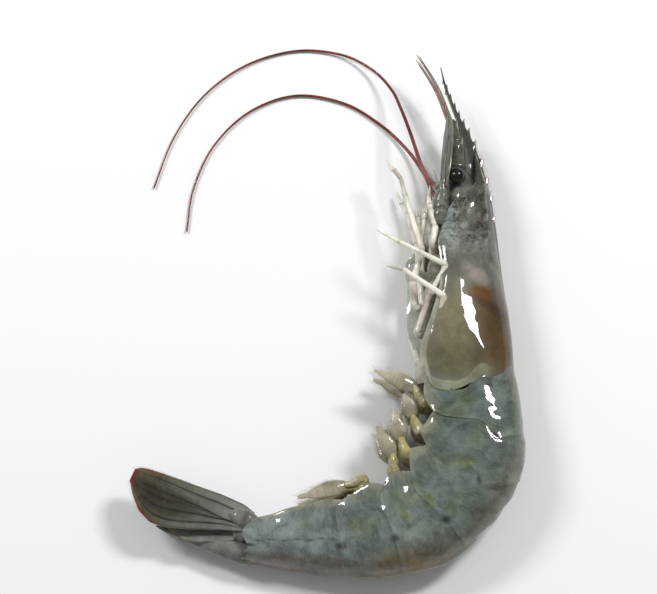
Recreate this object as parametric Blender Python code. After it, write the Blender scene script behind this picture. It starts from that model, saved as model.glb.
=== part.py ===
"""A raw whiteleg shrimp, whole, lying on its right side with its left side up.

The shrimp faces +Y. Its back is on the +X side and its belly and legs on the -X side, and the
abdomen curls round so that the tail fan points to -X. +Z is up, out of the left flank. The origin
is on the floor, under the middle of the whole animal. Sizes below are in millimetres.
"""

import math

import bmesh
import bpy
from mathutils import Vector

MM = 0.001
UP = Vector((0.0, 0.0, 1.0))
GAP = 0.3  # clear space between two pieces that touch on the real animal
ORIGIN = Vector((-16.09, 16.5, 0.0))  # the middle of the animal in the layout used below

# The body, as links from the rear edge of the carapace to the root of the tail.
BODY_START = Vector((16.6, -3.6))  # middle of the carapace's rear edge, seen from above
START_HEADING = -84.0  # degrees, the way the abdomen leaves the carapace
START_TURN = -85.0  # degrees, the way the rear edge itself faces
# name, length, bend to the next link (degrees), then depth, width and height at its rear end
SOMITES = (
    ("somite_1", 10.8, 14.0, 21.6, 17.2, 8.6),
    ("somite_2", 9.5, 30.0, 23.4, 16.8, 8.4),
    ("somite_3", 14.2, 34.0, 21.2, 15.8, 7.9),
    ("somite_4", 11.2, 9.0, 20.0, 14.2, 7.1),
    ("somite_5", 12.2, 8.0, 17.0, 12.2, 6.2),
    ("somite_6", 19.5, 8.0, 10.8, 9.2, 5.2),
)
TUCK = 0.95  # the front rim of a ring is this share of the one before it, to tuck under it
BULGE = 0.02  # how far a ring swells between its two rims, as a share

# The carapace from its rear edge to the orbit: y, x of the back, depth, width, height of middle.
CARAPACE = (
    (-3.6, 26.4, 19.8, 17.4, 8.7),
    (3.0, 26.4, 19.4, 18.0, 8.8),
    (10.0, 26.0, 17.6, 17.8, 8.8),
    (18.0, 24.9, 15.2, 16.6, 8.8),
    (26.0, 23.7, 13.6, 14.6, 8.9),
    (33.0, 22.5, 12.2, 12.0, 9.1),
    (38.5, 21.6, 9.2, 9.6, 9.6),
    (41.5, 21.0, 6.2, 7.0, 10.0),
)
ROLL = 8.0  # degrees by which the back is lifted from the floor
RING_POINTS = 24

# The rostrum, a toothed blade over the eyes: from its root in the carapace to its tip.
ROSTRUM_ROOT = Vector((21.6, 30.0))
ROSTRUM_TIP = Vector((10.6, 72.6))
ROSTRUM_DEPTH = 4.6
ROSTRUM_THICKNESS = 1.2
ROSTRUM_HEIGHT = 10.2  # of its middle plane over the floor
TEETH = 9
TEETH_START = 0.12  # share of the blade's length where the first tooth begins
TEETH_RUN = 0.8  # share of the blade's length that carries teeth
TOOTH_HEIGHT = 0.9
ROSTRUM_BELLY = ((0.9, 0.5), (0.86, 1.0), (0.78, 0.7), (0.72, 1.2), (0.5, 1.8), (0.2, 2.3))

# The head: eyes on stalks, antennules, antennal scales and the long antennae. SIDES are the left
# (upper) and right (lower) half of the animal.
SIDES = (("left", 1), ("right", -1))
HEAD_MIDDLE = 9.8  # height of the head's middle plane
EYE = Vector((13.3, 43.2))
EYE_RADIUS = 2.0
EYE_SIDE = 4.9  # from the middle plane to the eye's middle
STALK_ROOT = Vector((15.3, 43.0))
STALK_ROOT_SIDE = 2.0
STALK_RADII = (0.9, 1.2)
ANTENNULE = ((12.4, 40.6), (12.9, 46.0), (12.6, 52.0), (11.6, 57.5), (9.2, 67.0), (5.4, 75.0))
ANTENNULE_RADII = (1.1, 1.1, 0.9, 0.6, 0.4, 0.3)
ANTENNULE_SIDE = 1.4
ANTENNAL_BASE = ((9.6, 36.6, 3.5), (10.1, 42.0, 3.9))  # x, y, from the middle plane
ANTENNAL_BASE_RADII = (1.4, 1.8)
SCALE_ROOT = Vector((10.2, 42.6))
SCALE_SIDE = 4.5
SCALE_LENGTH = 16.4
SCALE_WIDTH = 5.6
SCALE_HEADING = 86.0  # degrees from +X
SCALE_TILT = 62.0  # degrees from lying flat
SCALE_THICKNESS = 0.9
ANTENNAE = {
    "left": (
        (7.2, 42.6, 13.4), (5.3, 47.0, 12.4), (3.1, 55.7, 10.0), (0.9, 63.6, 7.2), (-1.2, 69.4, 4.8),
        (-5.6, 75.4, 2.6), (-13.0, 80.0, 1.2), (-24.0, 81.2, 0.8), (-36.0, 77.4, 0.8),
        (-46.0, 69.4, 0.8), (-53.0, 58.4, 0.8), (-57.4, 45.6, 0.8),
    ),
    "right": (
        (8.0, 43.2, 5.4), (6.4, 48.2, 3.6), (2.6, 55.0, 1.6), (-3.4, 61.6, 0.8), (-12.4, 67.4, 0.8),
        (-24.0, 69.4, 0.8), (-35.0, 65.2, 0.8), (-43.4, 56.4, 0.8), (-48.0, 45.4, 0.8),
        (-49.4, 34.6, 0.8),
    ),
}
ANTENNA_RADIUS = 0.75
ANTENNA_TIP_RADIUS = 0.3

# The breast, between the lower edges of the carapace: y, x of its middle, depth, width.
BREAST = (
    (-3.3, 5.2, 1.8, 5.6),
    (8.0, 6.2, 2.8, 7.4),
    (18.0, 7.7, 3.2, 7.0),
    (26.0, 8.4, 2.8, 6.2),
    (33.0, 9.0, 2.0, 4.8),
)
BREAST_MIDDLE = 8.8

# The legs, from the hip to the tip, and the last pair of mouth legs in front of them.
LEG_RADII = (1.1, 0.95, 0.8, 0.6, 0.32)
MOUTH_LEG_RADII = (0.8, 0.75, 0.4)
LEGS = {
    "leg_1_left": ((7.6, 26.8, 13.5), (8.3, 31.5, 13.6), (7.4, 35.5, 13.4), (6.8, 38.8, 12.8)),
    "leg_2_left": ((4.9, 20.5, 11.0), (4.8, 28.0, 10.6), (6.1, 34.0, 11.0), (6.2, 37.0, 11.4)),
    "leg_3_left": (
        (3.4, 12.5, 12.0), (3.0, 18.3, 13.0), (5.2, 25.3, 14.0), (1.5, 38.8, 13.5),
        (0.6, 43.4, 12.4), (-2.8, 48.9, 10.6),
    ),
    "leg_4_left": (
        (3.7, 6.0, 12.8), (6.8, 14.5, 14.5), (10.5, 20.9, 16.8), (0.0, 26.7, 16.0),
        (-5.3, 30.6, 13.4),
    ),
    "leg_5_left": (
        (5.2, 1.0, 13.6), (9.9, 13.3, 17.3), (0.6, 19.9, 17.0), (-3.1, 21.4, 14.6),
    ),
    "leg_1_right": ((8.0, 27.0, 4.0), (7.9, 33.0, 4.0), (7.2, 37.5, 3.6), (6.8, 40.0, 3.2)),
    "leg_2_right": ((6.0, 20.5, 3.8), (5.6, 28.0, 4.2), (5.2, 35.0, 4.2), (4.8, 40.0, 3.6)),
    "leg_3_right": (
        (3.6, 13.0, 6.4), (3.2, 21.0, 5.9), (3.6, 30.0, 5.0), (2.2, 38.0, 3.6), (0.0, 44.0, 2.0),
    ),
    "leg_4_right": (
        (3.2, 7.2, 5.6), (1.9, 13.0, 4.2), (1.8, 22.0, 3.4), (2.0, 28.0, 2.2), (2.4, 33.0, 1.2),
    ),
    "leg_5_right": (
        (4.6, 1.5, 4.0), (2.9, 8.0, 2.2), (3.0, 18.0, 1.4), (4.6, 25.0, 1.2), (5.2, 30.0, 0.9),
    ),
    "mouth_leg_left": ((8.2, 34.2, 10.0), (7.2, 38.0, 10.6), (7.3, 42.4, 10.8)),
    "mouth_leg_right": ((8.2, 34.2, 8.0), (7.2, 38.0, 8.3), (7.3, 42.4, 8.4)),
}

# The swimming legs, one pair to a somite: hip, bend and tip, seen from above.
PLEOPODS = (
    ((5.3, -9.3), (3.0, -5.9), (-5.9, -2.4)),
    ((4.3, -16.0), (2.6, -12.6), (0.6, -7.8)),
    ((1.4, -21.2), (-0.2, -17.6), (-1.6, -11.8)),
    ((-1.4, -25.3), (-1.9, -21.2), (-5.4, -15.0)),
    ((-8.6, -27.2), (-12.6, -28.2), (-22.9, -31.0)),
)
PLEOPOD_SIDE = 2.9  # from the middle plane to the middle of the leg
PLEOPOD_WIDTHS = (3.4, 4.0, 4.2, 3.6, 1.6)
PLEOPOD_THICKNESSES = (2.2, 2.6, 1.8, 1.2, 0.7)

# The tail fan: root, tip, greatest width and tilt (degrees) of each blade.
TELSON = ((-35.6, -42.3, 5.2), (-54.4, -36.2, 5.2), 5.0, 5.0)
FAN = {
    "endopod_left": ((-35.4, -38.4, 6.6), (-55.8, -33.6, 7.0), 6.0, 12.0),
    "exopod_left": ((-35.0, -36.4, 7.9), (-60.2, -26.6, 10.4), 7.8, 24.0),
    "endopod_right": ((-35.4, -38.2, 3.9), (-55.6, -34.2, 3.2), 6.0, -5.0),
    "exopod_right": ((-35.0, -37.0, 2.7), (-59.8, -28.4, 1.3), 7.8, -3.0),
}
FAN_THICKNESS = 0.9
TELSON_POINTS = 10
TELSON_TAPER = ((0.0, 1.0), (0.35, 0.82), (0.7, 0.5), (0.92, 0.22), (1.0, 0.08))
# How wide a leaf is along its length: narrow at the root, widest past its middle, round-ended.
LEAF_TAPER = ((0.0, 0.34), (0.2, 0.55), (0.45, 0.82), (0.7, 1.0), (0.88, 0.86), (1.0, 0.4))
LEAF_POINTS = 8


def material(name, colour, roughness):
    """A plain wet surface in one colour."""
    made = bpy.data.materials.new(name)
    made.use_nodes = True
    shader = made.node_tree.nodes["Principled BSDF"]
    shader.inputs["Base Color"].default_value = (*colour, 1.0)
    shader.inputs["Roughness"].default_value = roughness
    shader.inputs["Metallic"].default_value = 0.0
    made.diffuse_color = (*colour, 1.0)
    return made


def clear_scene():
    for thing in list(bpy.data.objects):
        bpy.data.objects.remove(thing, do_unlink=True)


def collection(name):
    made = bpy.data.collections.new(name)
    bpy.context.scene.collection.children.link(made)
    return made


def place(points):
    """Layout points in millimetres, as metres from the origin."""
    return [(Vector(point) - ORIGIN) * MM for point in points]


def loft(name, rings, look, home):
    """A closed solid through rings of equal count, with a flat face over each end."""
    mesh = bpy.data.meshes.new(name)
    form = bmesh.new()
    made = [[form.verts.new(point) for point in place(ring)] for ring in rings]
    count = len(made[0])
    for ring, after in zip(made, made[1:]):
        for i in range(count):
            j = (i + 1) % count
            form.faces.new((ring[i], ring[j], after[j], after[i]))
    form.faces.new(made[0])
    form.faces.new(made[-1])
    bmesh.ops.recalc_face_normals(form, faces=form.faces)
    form.to_mesh(mesh)
    form.free()
    return finish(bpy.data.objects.new(name, mesh), look, home)


def tube(name, points, radii, look, home, resolution=1):
    """A round limb through the points, as thick at each as its radius says."""
    curve = bpy.data.curves.new(name, "CURVE")
    curve.dimensions = "3D"
    curve.bevel_depth = MM
    curve.bevel_resolution = resolution
    curve.use_fill_caps = True
    spline = curve.splines.new("POLY")
    spline.points.add(len(points) - 1)
    for knot, point, radius in zip(spline.points, place(points), radii):
        knot.co = (*point, 1.0)
        knot.radius = radius
    return finish(bpy.data.objects.new(name, curve), look, home)


def sphere(name, middle, radius, look, home):
    mesh = bpy.data.meshes.new(name)
    form = bmesh.new()
    bmesh.ops.create_uvsphere(form, u_segments=16, v_segments=10, radius=radius * MM)
    form.to_mesh(mesh)
    form.free()
    ball = finish(bpy.data.objects.new(name, mesh), look, home)
    ball.location = place([middle])[0]
    return ball


def finish(thing, look, home):
    home.objects.link(thing)
    thing.data.materials.append(look)
    if thing.type == "MESH":
        thing.data.shade_smooth()
        thing.data.set_sharp_from_angle(angle=math.radians(45))
    return thing


def smooth(points, steps):
    """A curve through all the points, as steps pieces between each two."""
    points = [Vector(point) for point in points]
    ends = [2 * points[0] - points[1], *points, 2 * points[-1] - points[-2]]
    path = []
    for a, b, c, d in zip(ends, ends[1:], ends[2:], ends[3:]):
        for i in range(steps):
            t = i / steps
            path.append(
                0.5 * (2 * b + (c - a) * t + (2 * a - 5 * b + 4 * c - d) * t * t
                       + (3 * b - a - 3 * c + d) * t**3)
            )
    return [*path, points[-1]]


def taper(start, end, count):
    return [start + (end - start) * i / (count - 1) for i in range(count)]


def outline(angle):
    """The body's cross-section: out from the middle to the back, and out to the flank.

    The back is round. The flanks run down almost straight to the edges of the side plates.
    """
    back, flank = math.cos(angle), math.sin(angle)
    if back < 0:
        return -(abs(back) ** 0.72), math.copysign(abs(flank) ** 0.72, flank)
    return back, math.copysign(abs(flank) ** 0.94, flank)


def ring(middle, turn, depth, width, roll=0.0, share=1.0):
    """A cross-section of the body that stands on the floor or over it.

    turn is the way from the belly to the back, in degrees from +X, seen from above.
    """
    turn, roll = math.radians(turn), math.radians(roll)
    level = Vector((math.cos(turn), math.sin(turn), 0.0))
    to_back = level * math.cos(roll) + UP * math.sin(roll)
    to_flank = UP * math.cos(roll) - level * math.sin(roll)
    points = []
    for i in range(RING_POINTS):
        back, flank = outline(2 * math.pi * i / RING_POINTS)
        point = Vector(middle) + (
            to_back * back * depth + to_flank * flank * width
        ) * (share / 2)
        point.z = max(point.z, 0.0)
        points.append(point)
    return points


def between(a, b, t):
    return a + (b - a) * t


def abdomen_joints():
    """The planes between the somites: middle, way to the back, depth, width, height, roll."""
    depth, width, height = CARAPACE[0][2:5]
    joints = [(BODY_START.copy(), START_TURN + 90, depth, width, height, ROLL)]
    middle, heading = BODY_START.copy(), START_HEADING
    for i, (_, length, bend, depth, width, height) in enumerate(SOMITES):
        angle = math.radians(heading)
        middle = middle + length * Vector((math.cos(angle), math.sin(angle)))
        turn = heading - bend / 2 + 90
        roll = ROLL * (1 - (i + 1) / len(SOMITES))
        joints.append((middle.copy(), turn, depth, width, height, roll))
        heading -= bend
    return joints


def joint_ring(front, rear, t, share=1.0, shift=0.0, bulge=0.0):
    """A cross-section between two joints, at t from the front one, moved shift rearwards."""
    turn = between(front[1], rear[1], t)
    middle = between(front[0], rear[0], t)
    along = math.radians(turn - 90)
    middle = middle + shift * Vector((math.cos(along), math.sin(along)))
    swell = 1 + bulge * math.sin(math.pi * t)
    depth, width = (between(front[n], rear[n], t) * swell for n in (2, 3))
    height, roll = between(front[4], rear[4], t), between(front[5], rear[5], t)
    return ring((*middle, height), turn, depth, width, roll, share)


def somites(look, home):
    """Six rings of shell, each tucked under the one before it."""
    joints = abdomen_joints()
    for (name, *_), front, rear in zip(SOMITES, joints, joints[1:]):
        rings = [
            joint_ring(front, rear, 0.0, share=TUCK, shift=GAP),
            joint_ring(front, rear, 0.35, bulge=BULGE),
            joint_ring(front, rear, 0.7, bulge=BULGE),
            joint_ring(front, rear, 1.0),
        ]
        loft(name, rings, look, home)
    return joints


def rostrum_outline():
    """The blade seen from its side: teeth along the back, two small ones under the tip."""
    along = (ROSTRUM_TIP - ROSTRUM_ROOT).normalized()
    out = Vector((along.y, -along.x))  # to the back
    length = (ROSTRUM_TIP - ROSTRUM_ROOT).length
    pitch = TEETH_RUN * length / TEETH
    back = []
    for i in range(TEETH):
        notch = TEETH_START * length + i * pitch
        point = notch + 0.85 * pitch  # a tooth leans forward, so its point comes late
        rise = ROSTRUM_DEPTH / 2 * (1 - 0.75 * i / TEETH)
        back.append(ROSTRUM_ROOT + along * notch + out * rise)
        back.append(ROSTRUM_ROOT + along * point + out * (rise + TOOTH_HEIGHT))
    belly = [ROSTRUM_ROOT + along * length * at - out * drop for at, drop in ROSTRUM_BELLY]
    return [ROSTRUM_ROOT, *back, ROSTRUM_TIP, *belly]


def rostrum_blade(look, home):
    """The blade as a mesh with thickness, ready to be joined to the carapace."""
    curve = bpy.data.curves.new("rostrum_blade", "CURVE")
    curve.dimensions = "2D"
    curve.fill_mode = "BOTH"
    curve.extrude = ROSTRUM_THICKNESS / 2 * MM
    corners = place([(*point, ROSTRUM_HEIGHT) for point in rostrum_outline()])
    spline = curve.splines.new("POLY")
    spline.points.add(len(corners) - 1)
    for knot, corner in zip(spline.points, corners):
        knot.co = (corner.x, corner.y, 0.0, 1.0)
    spline.use_cyclic_u = True
    drawn = bpy.data.objects.new("rostrum_drawn", curve)
    drawn.location.z = ROSTRUM_HEIGHT * MM
    home.objects.link(drawn)
    bpy.context.view_layer.update()
    seen = drawn.evaluated_get(bpy.context.evaluated_depsgraph_get())
    mesh = bpy.data.meshes.new_from_object(seen)
    form = bmesh.new()
    form.from_mesh(mesh)
    bmesh.ops.remove_doubles(form, verts=form.verts, dist=1e-6)
    bmesh.ops.recalc_face_normals(form, faces=form.faces)
    form.to_mesh(mesh)
    form.free()
    blade = bpy.data.objects.new("rostrum_blade", mesh)
    blade.matrix_world = drawn.matrix_world
    bpy.data.objects.remove(drawn)
    blade.data.materials.clear()
    finish(blade, look, home)
    blade.hide_render = True
    blade.display_type = "WIRE"
    return blade


def carapace(look, home, cutters):
    """The head shield, with the rostrum joined to it."""
    rings = []
    for i, (y, back, depth, width, height) in enumerate(CARAPACE):
        turn = START_TURN + 90 if i == 0 else 0.0
        rings.append(ring((back - depth / 2, y, height), turn, depth, width, ROLL))
    shield = loft("carapace", rings, look, home)
    union = shield.modifiers.new("rostrum", "BOOLEAN")
    union.operation = "UNION"
    union.solver = "EXACT"
    union.object = rostrum_blade(look, cutters)
    return shield


def ellipse(middle, across, through, count):
    """A flat ring round middle, reaching across and through it."""
    turns = (2 * math.pi * i / count for i in range(count))
    return [middle + across * math.cos(turn) + through * math.sin(turn) for turn in turns]


def leaf(name, root, tip, across, width, thickness, look, home):
    """A thin flat leaf from root to tip, spread to both sides along across."""
    root, tip, across = Vector(root), Vector(tip), across.normalized()
    through = (tip - root).normalized().cross(across)
    rings = []
    for t, share in LEAF_TAPER:
        reach = across * width / 2 * share
        rings.append(ellipse(root.lerp(tip, t), reach, through * thickness / 2, LEAF_POINTS))
    return loft(name, rings, look, home)


def head(looks, home):
    """Eyes on their stalks, antennules, antennal bases and scales, and the long antennae."""
    for side, sign in SIDES:
        eye = Vector((*EYE, HEAD_MIDDLE + sign * EYE_SIDE))
        root = Vector((*STALK_ROOT, HEAD_MIDDLE + sign * STALK_ROOT_SIDE))
        neck = eye + (root - eye).normalized() * (EYE_RADIUS + GAP)
        tube(f"eyestalk_{side}", (root, neck), STALK_RADII, looks["shell"], home, 2)
        sphere(f"eye_{side}", eye, EYE_RADIUS, looks["eye"], home)

        path = [(x, y, HEAD_MIDDLE + sign * ANTENNULE_SIDE) for x, y in ANTENNULE]
        tube(f"antennule_{side}", path, ANTENNULE_RADII, looks["shell"], home)
        path = [(x, y, HEAD_MIDDLE + sign * out) for x, y, out in ANTENNAL_BASE]
        tube(f"antennal_base_{side}", path, ANTENNAL_BASE_RADII, looks["shell"], home, 2)

        heading, tilt = math.radians(SCALE_HEADING), math.radians(SCALE_TILT)
        along = Vector((math.cos(heading), math.sin(heading), 0.0))
        level = Vector((math.sin(heading), -math.cos(heading), 0.0))
        across = level * math.cos(tilt) + UP * sign * math.sin(tilt)
        root = Vector((*SCALE_ROOT, HEAD_MIDDLE + sign * SCALE_SIDE))
        leaf(f"antennal_scale_{side}", root, root + along * SCALE_LENGTH, across,
             SCALE_WIDTH, SCALE_THICKNESS, looks["shell"], home)

        path = smooth(ANTENNAE[side], 3)
        radii = taper(ANTENNA_RADIUS, ANTENNA_TIP_RADIUS, len(path))
        tube(f"antenna_{side}", path, radii, looks["antenna"], home)


def breast(look, home):
    rings = []
    for y, x, depth, width in BREAST:
        rings.append(ring((x, y, BREAST_MIDDLE), 0.0, depth, width))
    loft("breast", rings, look, home)


def spread(values, count):
    """The values read off at count even steps from the first to the last."""
    steps = []
    for i in range(count):
        at = i * (len(values) - 1) / (count - 1)
        low = min(int(at), len(values) - 2)
        steps.append(between(values[low], values[low + 1], at - low))
    return steps


def legs(look, home):
    for name, path in LEGS.items():
        thickness = MOUTH_LEG_RADII if "mouth" in name else LEG_RADII
        tube(name, path, spread(thickness, len(path)), look, home)


def pleopods(look, home, joints):
    """Flat paddles, broad across the body, folded forward under each somite."""
    for i, knots in enumerate(PLEOPODS):
        height = between(joints[i][4], joints[i + 1][4], 0.5)
        for side, sign in SIDES:
            path = smooth([(*knot, height + sign * PLEOPOD_SIDE) for knot in knots], 2)
            rings = []
            for j, middle in enumerate(path):
                ahead = path[min(j + 1, len(path) - 1)] - path[max(j - 1, 0)]
                through = ahead.normalized().cross(UP)
                rings.append(ellipse(middle, UP * PLEOPOD_WIDTHS[j] / 2,
                                     through * PLEOPOD_THICKNESSES[j] / 2, LEAF_POINTS))
            loft(f"pleopod_{i + 1}_{side}", rings, look, home)


def tail(looks, home):
    """The telson, a thick spike, and the four leaves of the fan round it."""
    root, tip, depth, width = TELSON
    root, tip = Vector(root), Vector(tip)
    back = (tip - root).normalized().cross(UP)
    rings = []
    for t, share in TELSON_TAPER:
        deep, wide = back * depth / 2 * share, UP * width / 2 * share
        rings.append(ellipse(root.lerp(tip, t), deep, wide, TELSON_POINTS))
    loft("telson", rings, looks["shell"], home)
    for name, (root, tip, width, tilt) in FAN.items():
        tilt = math.radians(tilt)
        across = -back * math.cos(tilt) + UP * math.sin(tilt)
        leaf(name, root, tip, across, width, FAN_THICKNESS, looks["tail"], home)


def build():
    clear_scene()
    home = collection("raw_whiteleg_shrimp")
    cutters = collection("cutters")
    looks = {
        "shell": material("shell", (0.20, 0.23, 0.20), 0.25),
        "tail": material("tail", (0.10, 0.10, 0.08), 0.25),
        "leg": material("leg", (0.62, 0.57, 0.48), 0.35),
        "pleopod": material("pleopod", (0.34, 0.29, 0.19), 0.3),
        "antenna": material("antenna", (0.36, 0.08, 0.07), 0.3),
        "eye": material("eye", (0.01, 0.01, 0.01), 0.08),
    }
    carapace(looks["shell"], home, cutters)
    joints = somites(looks["shell"], home)
    breast(looks["leg"], home)
    head(looks, home)
    legs(looks["leg"], home)
    pleopods(looks["pleopod"], home, joints)
    tail(looks, home)


build()
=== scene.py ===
# %% [markdown]
# # A raw whiteleg shrimp
# The shrimp lies on its right side, as on a fish stall: head up the picture, belly and legs to the
# left, and the abdomen curled round so that the tail fan points left. The frame is the plain solid
# model. Nearly every piece here is a finer one that takes the place of one of its solids.

# %% The tools and the frame
import math

import bpy
import numpy as np
from mathutils import Matrix, Vector


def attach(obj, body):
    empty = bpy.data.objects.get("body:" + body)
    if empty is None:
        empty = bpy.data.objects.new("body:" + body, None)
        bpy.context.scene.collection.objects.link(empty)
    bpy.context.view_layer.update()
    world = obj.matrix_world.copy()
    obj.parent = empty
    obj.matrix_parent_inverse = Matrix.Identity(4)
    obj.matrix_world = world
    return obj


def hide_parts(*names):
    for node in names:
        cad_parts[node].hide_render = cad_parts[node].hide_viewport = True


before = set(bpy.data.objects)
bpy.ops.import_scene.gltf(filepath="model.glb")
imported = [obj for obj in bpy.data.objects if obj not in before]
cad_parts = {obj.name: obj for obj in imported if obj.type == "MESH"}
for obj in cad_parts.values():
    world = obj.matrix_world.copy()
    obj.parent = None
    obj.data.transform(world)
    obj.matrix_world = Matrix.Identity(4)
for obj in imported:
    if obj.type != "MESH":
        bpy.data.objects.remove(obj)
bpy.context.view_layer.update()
print("solids in the frame:", len(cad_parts))

# %% [markdown]
# The animal is laid out in millimetres, seen from above, and moved into the frame at the end. That
# keeps the numbers readable: a shrimp is 170 mm long, and a leg is 2 mm thick.

# %% From the layout to the frame
MM = 0.001
MIDDLE = np.array((-16.09, 16.5, 0.0))  # the middle of the animal, in the layout


def to_frame(points):
    return (np.asarray(points, float) - MIDDLE) * MM


# %% [markdown]
# ## Camera, floor and light
# The picture is taken from above and a little from the tail's side. A long lens keeps the near and
# far parts in proportion. Two small lamps hang left and right, because a wet shell mirrors its lamps
# as sharp white shapes. A pale floor and a soft sky do the rest.

# %% Camera
VIEW_ELEVATION = math.radians(72.0)
VIEW_DISTANCE = 0.45
VIEW_TARGET = Vector((0.0, 0.0, 0.007))
VIEW_HEIGHT = 0.136  # metres of the scene from the bottom of the picture to its top
PICTURE = (657, 594)
SENSOR = 36.0


def aim(thing, place, target):
    thing.location = place
    thing.rotation_euler = (Vector(target) - Vector(place)).to_track_quat("-Z", "Y").to_euler()
    bpy.context.scene.collection.objects.link(thing)


lens = bpy.data.cameras.new("camera")
lens.sensor_width = SENSOR
lens.lens = SENSOR * VIEW_DISTANCE / (VIEW_HEIGHT * PICTURE[0] / PICTURE[1])
lens.clip_start = 0.01
camera = bpy.data.objects.new("camera", lens)
toward_camera = Vector((0.0, -math.cos(VIEW_ELEVATION), math.sin(VIEW_ELEVATION)))
aim(camera, VIEW_TARGET + toward_camera * VIEW_DISTANCE, VIEW_TARGET)
bpy.context.scene.camera = camera
print("lens:", round(lens.lens, 1), "mm")

# %% Lamps and sky
LAMP_DISTANCE = 0.6
LAMPS = {  # direction from the shrimp, width and height in metres, power in watts
    "lamp_left": ((-0.56, 0.33, 0.76), (0.18, 0.09), 1.6),
    "lamp_right": ((0.50, 0.33, 0.80), (0.16, 0.08), 2.1),
}
for name, (direction, (width, height), power) in LAMPS.items():
    light = bpy.data.lights.new(name, "AREA")
    light.shape = "RECTANGLE"
    light.size = width
    light.size_y = height
    light.energy = power
    lamp = bpy.data.objects.new(name, light)
    toward_lamp = Vector(direction).normalized()
    short_side = toward_lamp.cross((1.0, 0.0, 0.0)).normalized()
    axes = Matrix((short_side.cross(toward_lamp), short_side, toward_lamp))
    lamp.matrix_world = Matrix.Translation(toward_lamp * LAMP_DISTANCE) @ axes.transposed().to_4x4()
    bpy.context.scene.collection.objects.link(lamp)

SKY_COLOUR = (0.94, 0.97, 1.0, 1.0)
SKY_STRENGTH = 0.33
sky = bpy.data.worlds.new("sky")
sky.use_nodes = True
sky.node_tree.nodes["Background"].inputs["Color"].default_value = SKY_COLOUR
sky.node_tree.nodes["Background"].inputs["Strength"].default_value = SKY_STRENGTH
bpy.context.scene.world = sky
bpy.context.scene.view_settings.view_transform = "Standard"
print("lamps:", ", ".join(LAMPS))

# %% [markdown]
# ## Finishes
# A raw shrimp's shell is clear and wet over grey-green flesh. Four things make its colour: soft
# clouds where the flesh shows through, the strokes of the muscle that runs round the body, a few
# pale veins, and thousands of fine dark specks, the colour cells in the skin. Each is a node group
# with its own size, so that every piece can use them. The broad colours, such as the brown of the
# liver, are painted on each mesh as an attribute called tint, and the groups work on top of that.


# %% Helpers for node trees
def node(tree, kind, **settings):
    made = tree.nodes.new(kind if kind.startswith("Node") else "ShaderNode" + kind)
    for name, value in settings.items():
        setattr(made, name, value)
    return made


def feed(tree, socket, value):
    """Sets a socket to a number or a colour, or links another node's output to it."""
    if isinstance(value, (int, float)):
        socket.default_value = value
    elif isinstance(value, tuple):
        socket.default_value = value if len(value) == len(socket.default_value) else (*value, 1.0)
    else:
        tree.links.new(value, socket)


def maths(tree, operation, *values):
    made = node(tree, "Math", operation=operation)
    for socket, value in zip(made.inputs, values):
        feed(tree, socket, value)
    return made.outputs[0]


def mix(tree, share, first, second, blend="MIX"):
    made = node(tree, "Mix", data_type="RGBA", blend_type=blend)
    for socket, value in ((made.inputs[0], share), (made.inputs[6], first), (made.inputs[7], second)):
        feed(tree, socket, value)
    return made.outputs[2]


def step(tree, value, low, high):
    """0 below low, 1 above high, and a smooth rise between them."""
    made = node(tree, "MapRange", interpolation_type="SMOOTHSTEP")
    for name, number in (("Value", value), ("From Min", low), ("From Max", high)):
        feed(tree, made.inputs[name], number)
    return made.outputs["Result"]


# %% Helpers for node groups
def group(name, *numbers):
    """An empty node group with a Vector input, the named number inputs and one Mask output."""
    made = bpy.data.node_groups.new(name, "ShaderNodeTree")
    made.interface.new_socket("Vector", in_out="INPUT", socket_type="NodeSocketVector")
    for label in numbers:
        made.interface.new_socket(label, in_out="INPUT", socket_type="NodeSocketFloat")
    made.interface.new_socket("Mask", in_out="OUTPUT", socket_type="NodeSocketFloat")
    return made, node(made, "NodeGroupInput").outputs, node(made, "NodeGroupOutput").inputs["Mask"]


def scaled(tree, vector, *sizes):
    """The vector in units of one size, or of three."""
    made = node(tree, "VectorMath", operation="DIVIDE")
    sized = node(tree, "CombineXYZ")
    for socket, size in zip(sized.inputs, sizes * 3 if len(sizes) == 1 else sizes):
        feed(tree, socket, size)
    feed(tree, made.inputs[0], vector)
    feed(tree, made.inputs[1], sized.outputs[0])
    return made.outputs[0]


def use(tree, which, coordinates, **values):
    """The mask of a group, placed in a material with its own values."""
    made = node(tree, "Group")
    made.node_tree = which
    feed(tree, made.inputs["Vector"], coordinates)
    for name, value in values.items():
        made.inputs[name].default_value = value
    return made.outputs["Mask"]


# %% [markdown]
# Specks: a Voronoi texture puts one dot in each cell. The cell's own random colour gives the dot its
# size, so that some cells have a large dot and some have none, which no regular pattern would give.

# %% The specks group
specks, start, end = group("Colour cells", "Size", "Amount")
cells = node(specks, "TexVoronoi", feature="F1")
feed(specks, cells.inputs["Scale"], 1.0)
feed(specks, cells.inputs["Vector"], scaled(specks, start["Vector"], start["Size"]))
chance = node(specks, "SeparateColor")
feed(specks, chance.inputs[0], cells.outputs["Color"])
radius = maths(specks, "MULTIPLY", chance.outputs[0], start["Amount"])
dot = step(specks, cells.outputs["Distance"], maths(specks, "MULTIPLY", radius, 0.4), radius)
feed(specks, end, maths(specks, "SUBTRACT", 1.0, dot))
print("group:", specks.name)

# %% The clouds group
clouds, start, end = group("Clouds", "Size", "Sharpness")
noise = node(clouds, "TexNoise")
for name, value in (("Scale", 1.0), ("Detail", 4.0), ("Distortion", 0.6)):
    feed(clouds, noise.inputs[name], value)
feed(clouds, noise.inputs["Vector"], scaled(clouds, start["Vector"], start["Size"]))
edge = maths(clouds, "DIVIDE", 0.3, start["Sharpness"])
low, high = maths(clouds, "SUBTRACT", 0.5, edge), maths(clouds, "ADD", 0.5, edge)
feed(clouds, end, step(clouds, noise.outputs["Fac"], low, high))
print("group:", clouds.name)

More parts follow.
